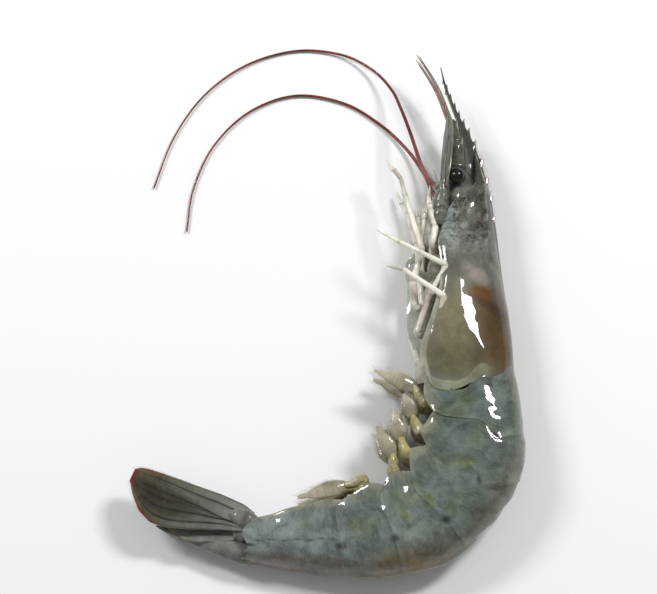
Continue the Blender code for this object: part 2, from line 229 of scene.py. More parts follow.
# %% [markdown]
# Muscle: under the shell the flesh lies in bundles round the body, which show as soft strokes. The
# strokes need coordinates that follow the surface, so each mesh carries an attribute called flow:
# its first number runs along the part and its second round it. The noise is stretched along the
# second.

# %% The muscle group
muscle, start, end = group("Muscle", "Size", "Stretch")
size = start["Size"]
noise = node(muscle, "TexNoise")
for name, value in (("Scale", 1.0), ("Detail", 3.0), ("Roughness", 0.6), ("Distortion", 1.1)):
    feed(muscle, noise.inputs[name], value)
long_side = maths(muscle, "MULTIPLY", size, start["Stretch"])
feed(muscle, noise.inputs["Vector"], scaled(muscle, start["Vector"], size, long_side, size))
feed(muscle, end, step(muscle, noise.outputs["Fac"], 0.34, 0.66))
print("group:", muscle.name)

# %% The veins group
veins, start, end = group("Veins", "Size", "Width")
place = scaled(veins, start["Vector"], start["Size"])
push = node(veins, "TexNoise")
feed(veins, push.inputs["Scale"], 1.3)
feed(veins, push.inputs["Vector"], place)
pushed = node(veins, "VectorMath", operation="MULTIPLY_ADD")
for socket, value in zip(pushed.inputs, (push.outputs["Color"], (1.8, 1.8, 1.8), place)):
    feed(veins, socket, value)
borders = node(veins, "TexVoronoi", feature="DISTANCE_TO_EDGE")
feed(veins, borders.inputs["Scale"], 1.0)
feed(veins, borders.inputs["Vector"], pushed.outputs[0])
line = step(veins, borders.outputs["Distance"], 0.0, start["Width"])
fade = step(veins, push.outputs["Fac"], 0.50, 0.62)  # only some stretches of a vein show
feed(veins, end, maths(veins, "MULTIPLY", maths(veins, "SUBTRACT", 1.0, line), fade))
print("group:", veins.name)


# %% [markdown]
# The finish itself is one function with a row of numbers for each kind of piece: how strong the
# clouds and strokes are, how dark and fine the specks, and how rough the shell. The wet film is the
# coat layer of the Principled shader: almost no roughness, so that the lamps show as sharp white
# shapes, while the duller layer under it keeps the flesh soft. A little light goes in and comes out
# again, which rounds off the shadows as in real flesh.

# %% A wet, clear finish
DARK_SPECK = (0.010, 0.013, 0.013)
MOTTLE = (0.014, 0.014, 0.009)
VEIN = (0.28, 0.31, 0.25)
MILK = (0.24, 0.27, 0.23)


def shading(tree, colour, here, flow, cloud, stroke, milk):
    """The colour with lighter and darker clouds, strokes and veins."""
    broad = use(tree, clouds, here, Size=5.0, Sharpness=2.2)
    fine = use(tree, clouds, here, Size=1.3, Sharpness=1.1)
    strokes = use(tree, muscle, flow, Size=0.9, Stretch=4.0)
    swings = ((broad, 0.60 * cloud), (fine, 0.28 * cloud), (strokes, 0.44 * stroke))
    shade = 1 - sum(swing for _, swing in swings) / 2  # keeps the mean near 1
    for mask, swing in swings:
        shade = maths(tree, "MULTIPLY_ADD", mask, swing, shade)
    grey = node(tree, "CombineColor")
    for socket in grey.inputs[:3]:
        feed(tree, socket, shade)
    colour = mix(tree, 1.0, colour, grey.outputs[0], "MULTIPLY")
    milky = use(tree, clouds, here, Size=2.3, Sharpness=2.4)
    colour = mix(tree, maths(tree, "MULTIPLY", milky, milk), colour, MILK)
    lines = use(tree, veins, flow, Size=3.4, Width=0.07)
    return mix(tree, maths(tree, "MULTIPLY", lines, 0.30 * stroke), colour, VEIN), fine


def speckled(tree, colour, here, strength, size):
    """The colour under dark specks, as many as the mesh's speck attribute says. Above 1 they crowd."""
    dots = use(tree, specks, here, Size=size, Amount=0.40)
    small = use(tree, specks, here, Size=size * 0.6, Amount=0.38)
    amount = node(tree, "Attribute", attribute_name="speck").outputs["Fac"]
    dots = maths(tree, "MAXIMUM", dots, maths(tree, "MULTIPLY", small, 0.7))
    strength = maths(tree, "MULTIPLY", amount, strength)
    colour = mix(tree, maths(tree, "MULTIPLY", dots, strength), colour, DARK_SPECK)
    large = use(tree, clouds, here, Size=1.5, Sharpness=3.6)
    little = use(tree, clouds, here, Size=0.6, Sharpness=2.4)
    blotch = maths(tree, "MULTIPLY", large, maths(tree, "MULTIPLY_ADD", little, 0.65, 0.35))
    crowded = maths(tree, "MAXIMUM", maths(tree, "SUBTRACT", amount, 1.0), 0.0)
    return mix(tree, maths(tree, "MULTIPLY", blotch, crowded), colour, MOTTLE)


def wet(name, cloud, stroke, speck, speck_size, milk=0.05, roughness=0.36, bump=0.04, scatter=0.3, film=1.4):
    """A wet finish over the mesh's own tint."""
    made = bpy.data.materials.new(name)
    made.use_nodes = True
    tree = made.node_tree
    shader = tree.nodes["Principled BSDF"]
    here = scaled(tree, node(tree, "TexCoord").outputs["Object"], MM)
    flow = node(tree, "Attribute", attribute_name="flow").outputs["Vector"]
    tint = node(tree, "Attribute", attribute_name="tint").outputs["Color"]
    colour, fine = shading(tree, tint, here, flow, cloud, stroke, milk)
    feed(tree, shader.inputs["Base Color"], speckled(tree, colour, here, speck, speck_size))
    feed(tree, shader.inputs["Roughness"], maths(tree, "MULTIPLY_ADD", fine, 0.14, roughness))
    raised = node(tree, "Bump")
    feed(tree, raised.inputs["Distance"], bump * MM)
    feed(tree, raised.inputs["Height"], use(tree, clouds, here, Size=0.7, Sharpness=0.6))
    feed(tree, shader.inputs["Normal"], raised.outputs[0])
    for label, value in (("Coat Weight", 1.0), ("Coat IOR", film), ("Coat Roughness", 0.03),
                         ("Specular IOR Level", 0.12), ("Subsurface Weight", scatter),
                         ("Subsurface Scale", 1.0 * MM)):
        shader.inputs[label].default_value = value
    shader.inputs["Subsurface Radius"].default_value = (1.0, 0.9, 0.7)
    return made


# %% One finish for each kind of part
SHELL = wet("shell", cloud=0.85, stroke=0.60, speck=0.45, speck_size=0.42, milk=0.16)
SHIELD_SHELL = wet("carapace", cloud=0.5, stroke=0.15, speck=0.45, speck_size=0.42, milk=0.02)
LEG = wet("leg", cloud=0.35, stroke=0.1, speck=0.5, speck_size=0.8, bump=0.02)
SWIM_LEG = wet("pleopod", cloud=0.7, stroke=0.4, speck=0.35, speck_size=0.5, roughness=0.28, bump=0.05)
TAIL = wet("tail", cloud=0.55, stroke=0.2, speck=0.5, speck_size=0.45, roughness=0.3, bump=0.02)
ANTENNA = wet("antenna", cloud=0.6, stroke=0.0, speck=0.3, speck_size=0.6, roughness=0.3, bump=0.01,
              film=1.3)
EYE = wet("eye", cloud=0.3, stroke=0.0, speck=0.0, speck_size=0.4, roughness=0.3, bump=0.001,
          scatter=0.0, film=1.33)
FINISHES = (SHELL, SHIELD_SHELL, LEG, SWIM_LEG, TAIL, ANTENNA, EYE)
print("finishes:", ", ".join(finish.name for finish in FINISHES))

# %% [markdown]
# ## Making meshes from grids
# Almost every part of a shrimp is a tube, a plate or a leaf. Each is made the same way: a grid of
# points, rows along the part and columns round it, worked out with numpy, with a colour for each
# point. A form is such a grid with its faces. Several forms together make one piece. Working on
# arrays is fast, and a formula can bend, swell or notch any stretch of the surface. The colours are
# laid on in the same way: layer over layer, each with a strength that a formula gives at each point.


# %% Forms
def arcs(grid):
    """How far each point lies along and round its grid, in mm."""
    flow = np.zeros(grid.shape)
    along = np.linalg.norm(np.diff(grid, axis=0), axis=2).mean(axis=1)
    around = np.linalg.norm(np.diff(grid, axis=1), axis=2).mean(axis=0)
    flow[1:, :, 0] = np.cumsum(along)[:, None]
    flow[:, 1:, 1] = np.cumsum(around)[None, :]
    flow[..., 2] = 10 * grid[0, 0, 1]  # so that no two parts show the same strokes
    return flow


def form(grid, tint, speck=1.0):
    """Points, faces and marks of a grid that closes round and is capped at both ends."""
    rows, columns = grid.shape[:2]
    here = np.arange(rows * columns).reshape(rows, columns)
    beside = np.roll(here, -1, axis=1)
    quads = np.stack([here[:-1], beside[:-1], beside[1:], here[1:]], axis=-1).reshape(-1, 4)
    faces = [*quads.tolist(), here[0][::-1].tolist(), here[-1].tolist()]
    colours = np.broadcast_to(np.asarray(tint, float), (rows, columns, 3)).reshape(-1, 3)
    specks_here = np.broadcast_to(np.asarray(speck, float), (rows, columns)).reshape(-1)
    return grid.reshape(-1, 3), faces, colours, specks_here, arcs(grid).reshape(-1, 3)


# %% Pieces
def piece(name, forms, material, slot, *nodes):
    """One object from its forms, in the frame, standing for the named solids."""
    points, corners, tints, specks_here, flows = zip(*forms)
    faces, count = [], 0
    for some, own in zip(points, corners):
        faces += [[corner + count for corner in face] for face in own]
        count += len(some)
    mesh = bpy.data.meshes.new(name)
    mesh.from_pydata(to_frame(np.concatenate(points)).tolist(), [], faces)
    colours = np.clip(np.concatenate(tints), 0.0, 1.0)
    marks = (
        ("tint", "FLOAT_COLOR", "color", np.column_stack([colours, np.ones(count)])),
        ("speck", "FLOAT", "value", np.concatenate(specks_here)),
        ("flow", "FLOAT_VECTOR", "vector", np.concatenate(flows)),
    )
    for label, kind, field, values in marks:
        mesh.attributes.new(label, kind, "POINT").data.foreach_set(field, values.astype(np.float32).ravel())
    mesh.materials.append(material)
    mesh.shade_smooth()
    mesh.set_sharp_from_angle(angle=math.radians(50))
    made = bpy.data.objects.new(name, mesh)
    bpy.context.scene.collection.objects.link(made)
    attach(made, "root")
    if nodes:
        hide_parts(*nodes)
    return made


# %% Curves, steps and ripples
UP = np.array((0.0, 0.0, 1.0))


def unit(vectors):
    return vectors / np.linalg.norm(vectors, axis=-1, keepdims=True)


def track(knots, at):
    """Reads rows of numbers at places between them, along a smooth curve through all of them."""
    knots = np.asarray(knots, float)
    ends = np.concatenate([[2 * knots[0] - knots[1]], knots, [2 * knots[-1] - knots[-2]]])
    at = np.asarray(at, float)
    i = np.clip(np.floor(at).astype(int), 0, len(knots) - 2)
    t = (at - i).reshape(at.shape + (1,) * (knots.ndim - 1))
    a, b, c, d = ends[i], ends[i + 1], ends[i + 2], ends[i + 3]
    return 0.5 * (2 * b + (c - a) * t + (2 * a - 5 * b + 4 * c - d) * t**2
                  + (3 * b - a - 3 * c + d) * t**3)


def bent(pairs, at, softness=0.02):
    """Reads a number from (place, number) pairs, with the corners between them rounded."""
    places, numbers = np.transpose(pairs)
    shifts = softness * np.array((-1.5, -0.5, 0.5, 1.5))
    return sum(np.interp(np.asarray(at) + shift, places, numbers) for shift in shifts) / len(shifts)


def rise(value, low, high):
    t = np.clip((np.asarray(value, float) - low) / (high - low), 0.0, 1.0)
    return t * t * (3 - 2 * t)


def bump_at(value, middle, width):
    return np.exp(-(((np.asarray(value, float) - middle) / width) ** 2))


RIPPLE_WAVES = 7
RIPPLE_LEVEL = 3.2  # brings the sum of the waves to between about -1 and 1


def ripple(points, size, seed):
    """A smooth uneven field between about -1 and 1, with waves of the given size in mm."""
    chance = np.random.default_rng(seed)
    total = 0.0
    for _ in range(RIPPLE_WAVES):
        direction = chance.normal(size=3)
        direction /= np.linalg.norm(direction)
        wave = size * chance.uniform(0.7, 1.6)
        total = total + np.sin(points @ direction * 2 * np.pi / wave + chance.uniform(0, 6.3))
    return total / RIPPLE_LEVEL


def blend(first, second, share):
    """Moves from one colour to another, point by point."""
    share = np.asarray(share)[..., None]
    return first * (1 - share) + np.asarray(second, float) * share


def painted(points, colour, *layers):
    """A ground colour with layers over it, each a colour and its strength at each point."""
    tint = np.broadcast_to(np.asarray(colour, float), points.shape)
    for over, share in layers:
        tint = blend(tint, over, share)
    return tint


def mottled(points, light, dark, size, seed, strength=0.7):
    return painted(points, light, (dark, strength * rise(ripple(points, size, seed), 0.0, 0.6)))


print("form helpers ready")

# %% [markdown]
# ## The body's shape
# The head shield and the six rings of the abdomen share one cross-section: a round back, and flanks
# that curve down to the edges of the side plates, like an upturned U. The section is read at a place
# from 0, the middle of the back, to 1, the lower edge of the left side plate, or to -1 on the right.
# The numbers are those of the solids, except that the back is trimmed and the first ring is a little
# slimmer, closer to the photograph.

# %% The body's driving sizes
BODY_START = (16.6, -3.6)
START_HEADING = -84.0
START_TURN = 5.0
START_SIZES = (19.8, 16.9, 8.25)
ROLL = 3.0
SOMITES = (  # length, bend to the next, then depth, width and height at the rear end
    (10.8, 14.0, 21.6, 16.9, 8.45),
    (9.5, 30.0, 23.4, 16.8, 8.4),
    (14.2, 34.0, 21.2, 15.8, 7.9),
    (11.2, 9.0, 20.0, 14.2, 7.1),
    (12.2, 8.0, 17.0, 12.2, 6.2),
    (19.5, 8.0, 10.8, 9.2, 5.2),
)
BACK_TRIM = (0.6, 1.1, 1.6, 1.4, 1.0, 1.5, 1.8)  # mm the back lies inside the solid at each joint
CARAPACE = (  # y, x of the back, depth, width, height of the middle
    (-3.6, 26.0, 19.4, 16.6, 8.2),
    (3.0, 25.5, 18.5, 17.7, 8.8),
    (10.0, 24.9, 16.5, 18.1, 8.8),
    (18.0, 23.7, 14.0, 17.45, 8.8),
    (26.0, 22.7, 12.6, 14.9, 8.9),
    (33.0, 22.0, 11.7, 12.0, 9.1),
    (38.5, 21.3, 8.9, 9.6, 9.6),
    (41.5, 20.9, 6.1, 7.0, 10.0),
    (46.0, 19.6, 3.6, 3.6, 10.2),
    (51.0, 18.2, 2.6, 1.7, 10.2),
)


def abdomen_frames():
    """x, y, height, turn, depth, width and roll at each joint."""
    x, y = BODY_START
    depth, width, height = START_SIZES
    rows = [(x, y, height, START_TURN, depth, width, ROLL)]
    heading = START_HEADING
    for i, (length, bend, depth, width, height) in enumerate(SOMITES):
        x += length * math.cos(math.radians(heading))
        y += length * math.sin(math.radians(heading))
        roll = ROLL * (1 - (i + 1) / len(SOMITES))
        rows.append((x, y, height, heading - bend / 2 + 90, depth, width, roll))
        heading -= bend
    rows = np.array(rows)
    trim = np.array(BACK_TRIM)
    turn = np.radians(rows[:, 3])
    rows[:, :2] -= np.column_stack([np.cos(turn), np.sin(turn)]) * trim[:, None] / 2
    rows[:, 4] -= trim
    return rows


ABDOMEN = abdomen_frames()
SHIELD = np.array([
    (back - depth / 2, y, height, START_TURN if i == 0 else 0.0, depth, width, ROLL)
    for i, (y, back, depth, width, height) in enumerate(CARAPACE)
])
print("joints of the abdomen:", len(ABDOMEN), "sections of the shield:", len(SHIELD))

# %% [markdown]
# A point of the body comes from its section's frame and its place round the section. Near the floor
# the surface flattens softly, as flesh does under its own weight.

# %% Points on the body
LEAN = 0.08  # how far the side plates lean in, and how far their lower edge turns under
TURN_UNDER = 0.05
FOLD = 0.16  # how softly the flank bends over into the side plate
RING_WIDEST = 0.46  # place of the widest point round a ring
FLANK_ROUNDNESS = 0.96
EDGE_TURNS = (0.82, 1.16)  # how far down the side plate its edge begins and ends to turn under
CURL_RATE = 2.0  # a curled edge swings out and up along a sine, and stops after its crest
CURL_END = 2.4
FLOOR_SOFTNESS = 0.35


def outline(p, reach=1.0, lean=LEAN, under=TURN_UNDER, widest=RING_WIDEST, ease=0.0, curl=0.0):
    """The upturned U: out to the back, and out to the flank, at place p from -1 to 1."""
    q = np.abs(p)
    below = np.clip((q - 0.5) * 2, 0.0, None)
    below = below * (1 + ease * (1 - below)) * reach
    past = np.clip((q - widest) * 2, 0.0, None) * reach
    past = np.sqrt(past**2 + FOLD**2) - FOLD
    past = past * (1 - curl) + np.sin(np.clip(past * CURL_RATE, 0.0, CURL_END)) * curl
    back = np.where(q <= 0.5, np.cos(np.minimum(q, 0.5) * np.pi), -below)
    flank = np.sin(np.minimum(q / widest, 1.0) * np.pi / 2) ** FLANK_ROUNDNESS
    flank = flank - lean * past - under * rise(below, *EDGE_TURNS)
    return back, flank * np.where(p < 0, -1.0, 1.0)


def on_body(rows, back, flank, swell=1.0):
    x, y, height, turn, depth, width, roll = np.moveaxis(rows, -1, 0)
    turn, roll = np.radians(turn), np.radians(roll)
    deep, wide = back * depth / 2 * swell, flank * width / 2 * swell
    level = deep * np.cos(roll) - wide * np.sin(roll)
    z = height + deep * np.sin(roll) + wide * np.cos(roll)
    z = FLOOR_SOFTNESS * np.logaddexp(0.0, z / FLOOR_SOFTNESS)
    return np.stack([x + np.cos(turn) * level, y + np.sin(turn) * level, z], axis=-1)


# %% [markdown]
# ## The rings of the abdomen
# Each ring is a hoop of shell. Its rear edge lies over the front of the next ring, so the rings slide
# when the tail bends. The hoops meet at a hinge, two fifths of the way from the middle of the back to
# the lower edge. Just above it the first two hoops reach far back over the next, and below it each
# ends in a rounded side plate. One smooth tube runs through all the joints, and every ring is a cut
# from it, between two uneven borders, a little raised at its rear lip. That way the rings line up by
# themselves.

# %% Borders between the rings
BORDERS = (  # for each joint: places round the section, and mm behind the joint
    ((0, -3.0), (0.07, -2.8), (0.14, -1.2), (0.21, 0.3), (0.30, 1.3), (0.43, 1.9), (0.55, 2.8), (0.66, 3.5),
     (0.80, 3.5), (0.90, 2.6), (0.96, 0.8), (1, -1.2)),
    ((0, 1.3), (0.14, 2.6), (0.28, 3.8), (0.37, 4.9), (0.41, 4.4), (0.44, 2.0), (0.47, 0.9), (0.57, 0.4),
     (0.80, 0.1), (0.93, -0.4), (1, -1.6)),
    ((0, -0.9), (0.25, 1.9), (0.36, 3.3), (0.40, 3.1), (0.43, 1.8), (0.47, 1.6), (0.54, 2.4), (0.66, 3.8),
     (0.78, 4.4), (0.9, 4.2), (1, 2.4)),
    ((0, -1.0), (0.35, -0.4), (0.45, 0.1), (0.65, 1.5), (0.80, 2.2), (0.92, 1.8), (1, 0.0)),
    ((0, -0.6), (0.38, -0.7), (0.56, -0.2), (0.80, 0.5), (0.92, 0.2), (1, -1.3)),
    ((0, -0.9), (0.39, -1.3), (0.64, -1.0), (0.90, -0.6), (1, -2.0)),
    ((0, 0.4), (0.20, 0.3), (0.29, -0.2), (0.35, -1.1), (0.41, -0.7), (0.52, 0.3), (0.75, 0.5), (0.90, -0.6),
     (1, -2.4)),
)
LENGTHS = (6.6, *(row[0] for row in SOMITES))  # of the stretch in front of each joint


def border(joint, p):
    """Where the border at a joint runs, counted in joints from the carapace's rear."""
    return joint + bent(BORDERS[joint], np.abs(p)) / LENGTHS[joint]


# %% [markdown]
# The flesh's colour is grey-green, paler on the flanks and browner along the back. The olive patches
# are the thin ends of the flank muscles, one in front of each rear lip.

# %% Colours of the rings
GREY_GREEN = (0.104, 0.131, 0.111)
PALE_BLUE = (0.182, 0.209, 0.197)
BACK_BROWN = (0.112, 0.098, 0.068)
OLIVE = (0.118, 0.138, 0.062)
WARM_BROWN = (0.150, 0.100, 0.030)
MILKY = (0.22, 0.25, 0.215)
OLIVE_PATCHES = (  # joint count, place round, half length in joints, half width, strength
    (0.90, 0.74, 0.14, 0.13, 0.55),
    (2.08, 0.53, 0.17, 0.060, 1.0),
    (3.02, 0.60, 0.12, 0.08, 0.80),
    (3.62, 0.55, 0.16, 0.08, 0.95),
    (4.60, 0.59, 0.18, 0.09, 0.85),
    (5.30, 0.66, 0.08, 0.07, 0.45),
)


def flesh(grid, u, q):
    """Colours at joint counts u and places q on the abdomen."""
    u = u + 0.06 * ripple(grid, 3.5, 1)
    q = q + 0.025 * ripple(grid, 3.0, 2)
    washes = rise(ripple(grid, 7.0, 3), 0.0, 0.8) * rise(q, 0.3, 0.5) * (1 - 0.8 * rise(u, 4.2, 5.0))
    patches = [
        (OLIVE, strength * rise(bump_at(u, middle, long) * bump_at(q, place, wide), 0.20, 0.65))
        for middle, place, long, wide, strength in OLIVE_PATCHES
    ]
    return painted(
        grid, GREY_GREEN,
        (PALE_BLUE, 0.25 * rise(u, 2.4, 3.2) + 0.60 * rise(u, 4.5, 5.2)),
        (OLIVE, 0.45 * washes),
        (BACK_BROWN, 0.85 * (1 - rise(q, 0.05, 0.34))),
        (BACK_BROWN, 0.7 * bump_at(u, 2.2, 0.7) * (1 - rise(q, 0.16, 0.40))),
        (WARM_BROWN, 0.9 * bump_at(u, 3.85, 0.55) * (1 - rise(q, 0.18, 0.40))),
        (MILKY, 0.5 * bump_at(u, 3.6, 0.25) * bump_at(q, 0.38, 0.10)),
        *patches,
    )


# %% [markdown]
# Each ring lies a little lower where the one before it covers it, swells in its middle and has small
# pits at its hinges. Its lip is turned in, and both ends are closed deep inside, out of sight. The
# first ring's front is flatter, where the photograph shows a broad white glint.

# %% The shape of a ring
ROWS_PER_MM = 4.0
SHELL_COLUMNS = 200
BELLY_COLUMNS = 14
TUCK = 0.16  # how far a ring runs on forward under the one before it, in its own lengths
HINGE = 0.39  # place of the hinges round the section
HINGE_PITS = (0.0, 0.007, 0.022, 0.022, 0.022, 0.022, 0.022)  # depth at each joint, as a share
THICK_UNDER_LIP = (0.022, 0.024, 0.026, 0.026, 0.026, 0.026)
BULGE = (0.008, 0.022, 0.022, 0.022, 0.022, 0.022)
LIP_RISE = 0.004
LIP_ROWS = (  # round the rear lip and under it: place along the ring, and how far out
    (1.004, 1.004), (1.002, 0.985), (0.96, 0.962), (0.93, 0.60),
)
INNER_END = 0.60  # how far out the closed ends lie
PLATE_REACH = 0.84  # how far down a side plate reaches, and how much more its rounded middle does
PLATE_LOBES = (0.28, 0.28, 0.28, 0.28, 0.16, 0.16)
PLATE_SWELL = 0.03
FIRST_KEELED = 3
KEEL_HEIGHT = 0.05
BELLY_WIDTH = 0.70
BELLY_DEPTH = (0.74, 0.08)  # at the sides, and how much more in the middle


def ring_profile(i):
    """Rows along a ring, and how far out each lies."""
    s = np.linspace(0.0, 1.0, int(SOMITES[i][0] * ROWS_PER_MM))
    share = 1 - THICK_UNDER_LIP[i] * (1 - rise(s, 0.02, 0.30)) + BULGE[i] * np.sin(np.pi * s) ** 1.5
    share = share + LIP_RISE * rise(s, 0.90, 0.985)
    rows = np.concatenate([[(0.0, INNER_END)], np.column_stack([s, share]), LIP_ROWS])
    return rows[:, :1], rows[:, 1:]


def ring_swell(i, s, q, share, lobe):
    """How far out the ring lies at s along it and q round it, as a share of its size."""
    swell = share + PLATE_SWELL * rise(q, 0.85, 1.0) * lobe
    swell = swell - HINGE_PITS[i + 1] * bump_at(q, HINGE, 0.03) * rise(s, 0.93, 1.0)
    swell = swell - HINGE_PITS[i] * bump_at(q, HINGE, 0.03) * bump_at(s, 0.17, 0.05)
    if i == 0:
        swell = swell - 0.030 * (1 - rise(s, 0.03, 0.09))
        swell = swell - 0.036 * bump_at(q, 0.34, 0.095) * (1 - rise(s, 0.50, 0.75))
        swell = swell - 0.014 * rise(q, 0.70, 0.88) * (1 - rise(s, 0.15, 0.45))
    else:
        filled_up = 0.8 * THICK_UNDER_LIP[i] * bump_at(q, HINGE + 0.03, 0.08)
        swell = swell + filled_up * (1 - rise(s, 0.02, 0.30))
    if i >= FIRST_KEELED:
        swell = swell + KEEL_HEIGHT * bump_at(q, 0.0, 0.05)
    return swell


def ring_grid(i):
    p = np.linspace(-1.0, 1.0, SHELL_COLUMNS)
    q = np.abs(p)
    s, share = ring_profile(i)
    u = border(i, p) - TUCK + (border(i + 1, p) - border(i, p) + TUCK) * s
    lobe = np.sin(np.pi * np.clip(s, 0.0, 1.0)) ** 0.5
    back, flank = outline(p, PLATE_REACH + PLATE_LOBES[i] * lobe)
    rows = track(ABDOMEN, u)
    uneven = ripple(on_body(rows, back, flank), 4.8, 11) * (0.011 + 0.014 * rise(q, 0.66, 0.82))
    shell = on_body(rows, back, flank, ring_swell(i, s, q, share, lobe) + uneven * rise(s, 0.0, 0.2))
    w = np.linspace(1.0, -1.0, BELLY_COLUMNS)
    under = track(ABDOMEN, i + (s * 1.02 - 0.01) + 0 * w)
    depth = BELLY_DEPTH[0] + BELLY_DEPTH[1] * (1 - w**2)
    belly_share = np.minimum(share / 0.9, 0.9 + 0.1 * share)  # full, but drawn in with the closed ends
    belly = on_body(under, -depth + 0 * s, BELLY_WIDTH * w + 0 * s, belly_share)
    grid = np.concatenate([shell, belly], axis=1)
    u = np.concatenate([u, i + s + 0 * w], axis=1)
    q = np.concatenate([q, 1.05 + 0 * w])[None, :] + 0 * s
    return grid, u, q, s + 0 * q


# %% [markdown]
# A ring is darker where it slips under the one before it, and painted shade runs on just behind that
# lip. It is pale at its lip and at the edges of its side plates, and dark in the hinge pits. The last
# ring has a broken dark line on its flank, a pinkish back and a red keel.

# %% The rings' marks and the finished rings
# darkens a ring where it slips under the lip in front, and runs on behind that lip as painted shade
LIP_SHADE_GREY = (0.045, 0.055, 0.048)
PLATE_EDGE = (0.24, 0.235, 0.165)
PIT_DARK = (0.014, 0.014, 0.012)
DASH_GREY = (0.020, 0.022, 0.018)
DASHES = 7
PINK_BACK = (0.150, 0.122, 0.096)
KEEL_RED = (0.070, 0.004, 0.004)
REAR_RED = (0.070, 0.008, 0.007)


def last_ring_marks(s, q):
    """Layers for the last ring only."""
    dashes = [
        (DASH_GREY, 0.85 * (bump_at(s, 0.22 + 0.11 * k, 0.035) * bump_at(q, 0.455 + 0.012 * (k % 2), 0.012)))
        for k in range(DASHES)
    ]
    return [
        *dashes,
        (PINK_BACK, 0.8 * (1 - rise(q, 0.24, 0.34))),
        (KEEL_RED, 0.97 * (1 - rise(q, 0.01, 0.075)) * rise(s, 0.10, 0.65)),
        (REAR_RED, 0.9 * rise(s, 0.965, 0.98) * (1 - rise(q, 0.2, 0.32))),
    ]


def ring(i):
    grid, u, q, s = ring_grid(i)
    lip_shade = 1 - rise(s, TUCK * 0.7, TUCK * 0.7 + 0.24 + 0.10 * ripple(grid, 5.0, 7))
    cloudy = 0.20 + 0.25 * rise(ripple(grid, 4.0, 9), 0.0, 0.8)
    pit = bump_at(q, HINGE, 0.028) * (bump_at(s, 0.985, 0.05) + bump_at(s, TUCK, 0.05))
    tint = painted(
        grid, flesh(grid, u, q),
        # painted shade just behind the lip of the ring in front
        (LIP_SHADE_GREY, (0.42 + 0.2 * ripple(grid, 3.0, 8)) * lip_shade),
        (MILKY, cloudy * bump_at(s, 0.955, 0.03)),
        (PLATE_EDGE, 0.75 * rise(q, 0.84, 0.99) * (q <= 1.0)),
        (PIT_DARK, np.clip(1.2 * pit, 0.0, 0.9)),
        *(last_ring_marks(s, q) if i == len(SOMITES) - 1 else ()),
    )
    return form(grid, tint, speck=1.0 - 0.6 * (q > 1.0))


for i in range(len(SOMITES)):
    made = piece(f"ring_{i + 1}", [ring(i)], SHELL, "shell", f"somite_{i + 1}")
    print(made.name, len(made.data.polygons), "faces")

# %% [markdown]
# ## The carapace
# The head shield is one plate of shell. Its rear edge lies over the first ring, its lower edge is a
# pale rim over the roots of the legs, and in front it is notched for the eyes. It is cut from its own
# tube in the same way as the rings, and its lower edges turn in, so that it is hollow for the legs.
# On the floor's side the lower edge spreads out over the right legs and curls up as a pale flap,
# painted lighter still to stand for light on its shaded face.

# %% The shield's sizes
SHIELD_ROWS = 200
SHIELD_COLUMNS = 220
LINING_COLUMNS = 9
FRONT_EDGE = ((0, 50.8), (0.30, 50.0), (0.44, 48.0), (0.49, 44.5), (0.53, 41.2), (0.58, 41.6),
              (0.72, 39.0), (0.85, 37.4), (1, 34.0))  # place round the section, and y of the edge
LOWER_REACH = {  # how far down the left and the right edge reach, at each section
    1: (1.20, 1.18, 1.10, 1.0, 1.0, 1.0, 1.0, 1.0, 1.0, 1.0),
    -1: (1.20, 1.36, 1.78, 2.06, 2.0, 1.4, 1.0, 1.0, 1.0, 1.0),
}
SECTION_LEAN = {  # how far the flanks lean in
    1: (0.08, 0.08, 0.12, 0.20, 0.25, 0.36, 0.42, 0.42, 0.42, 0.42),
    -1: (0.20, 0.48, 0.60, 0.62, 0.45, 0.25, 0.40, 0.42, 0.42, 0.42),
}
SHIELD_UNDER = {  # how far the lower edges turn under
    1: (0.04, 0.02, 0.0, 0.0, 0.0, 0.0, 0.0, 0.0, 0.0, 0.0),
    -1: (0.0,) * 10,
}
WIDEST = (0.46, 0.61, 0.70, 0.72, 0.67, 0.66, 0.58, 0.5, 0.5, 0.5)  # place of each section's widest point


def section_at(y):
    """The fractional section number of the shield at y."""
    fine = np.linspace(0, len(SHIELD) - 1, 400)
    ahead = np.interp(y, track(SHIELD[:, 1:2], fine)[:, 0], fine)
    return np.where(y < CARAPACE[0][0], (y - CARAPACE[0][0]) / LENGTHS[0], ahead)


def at_sections(numbers, at):
    """Reads a row of numbers, one for each section, at the section counts."""
    return track(np.array(numbers)[:, None], np.clip(at, 0, None))[..., 0]


def on_side(both_sides, p, at):
    """Reads the left or the right row of numbers at the section counts."""
    return np.where(p < 0, at_sections(both_sides[-1], at), at_sections(both_sides[1], at))


# %% The shield's surface
GILL_WIDTH = 17.95  # the gills' cover nearly keeps this width while the shield narrows
GILL_TAPER = 0.055
OVER_RINGS = 1.006  # the shield lies this much further out than the first ring's tube
CORNER = 0.16  # how much the lower rear corner is cut off
UNEVENNESS = 0.005


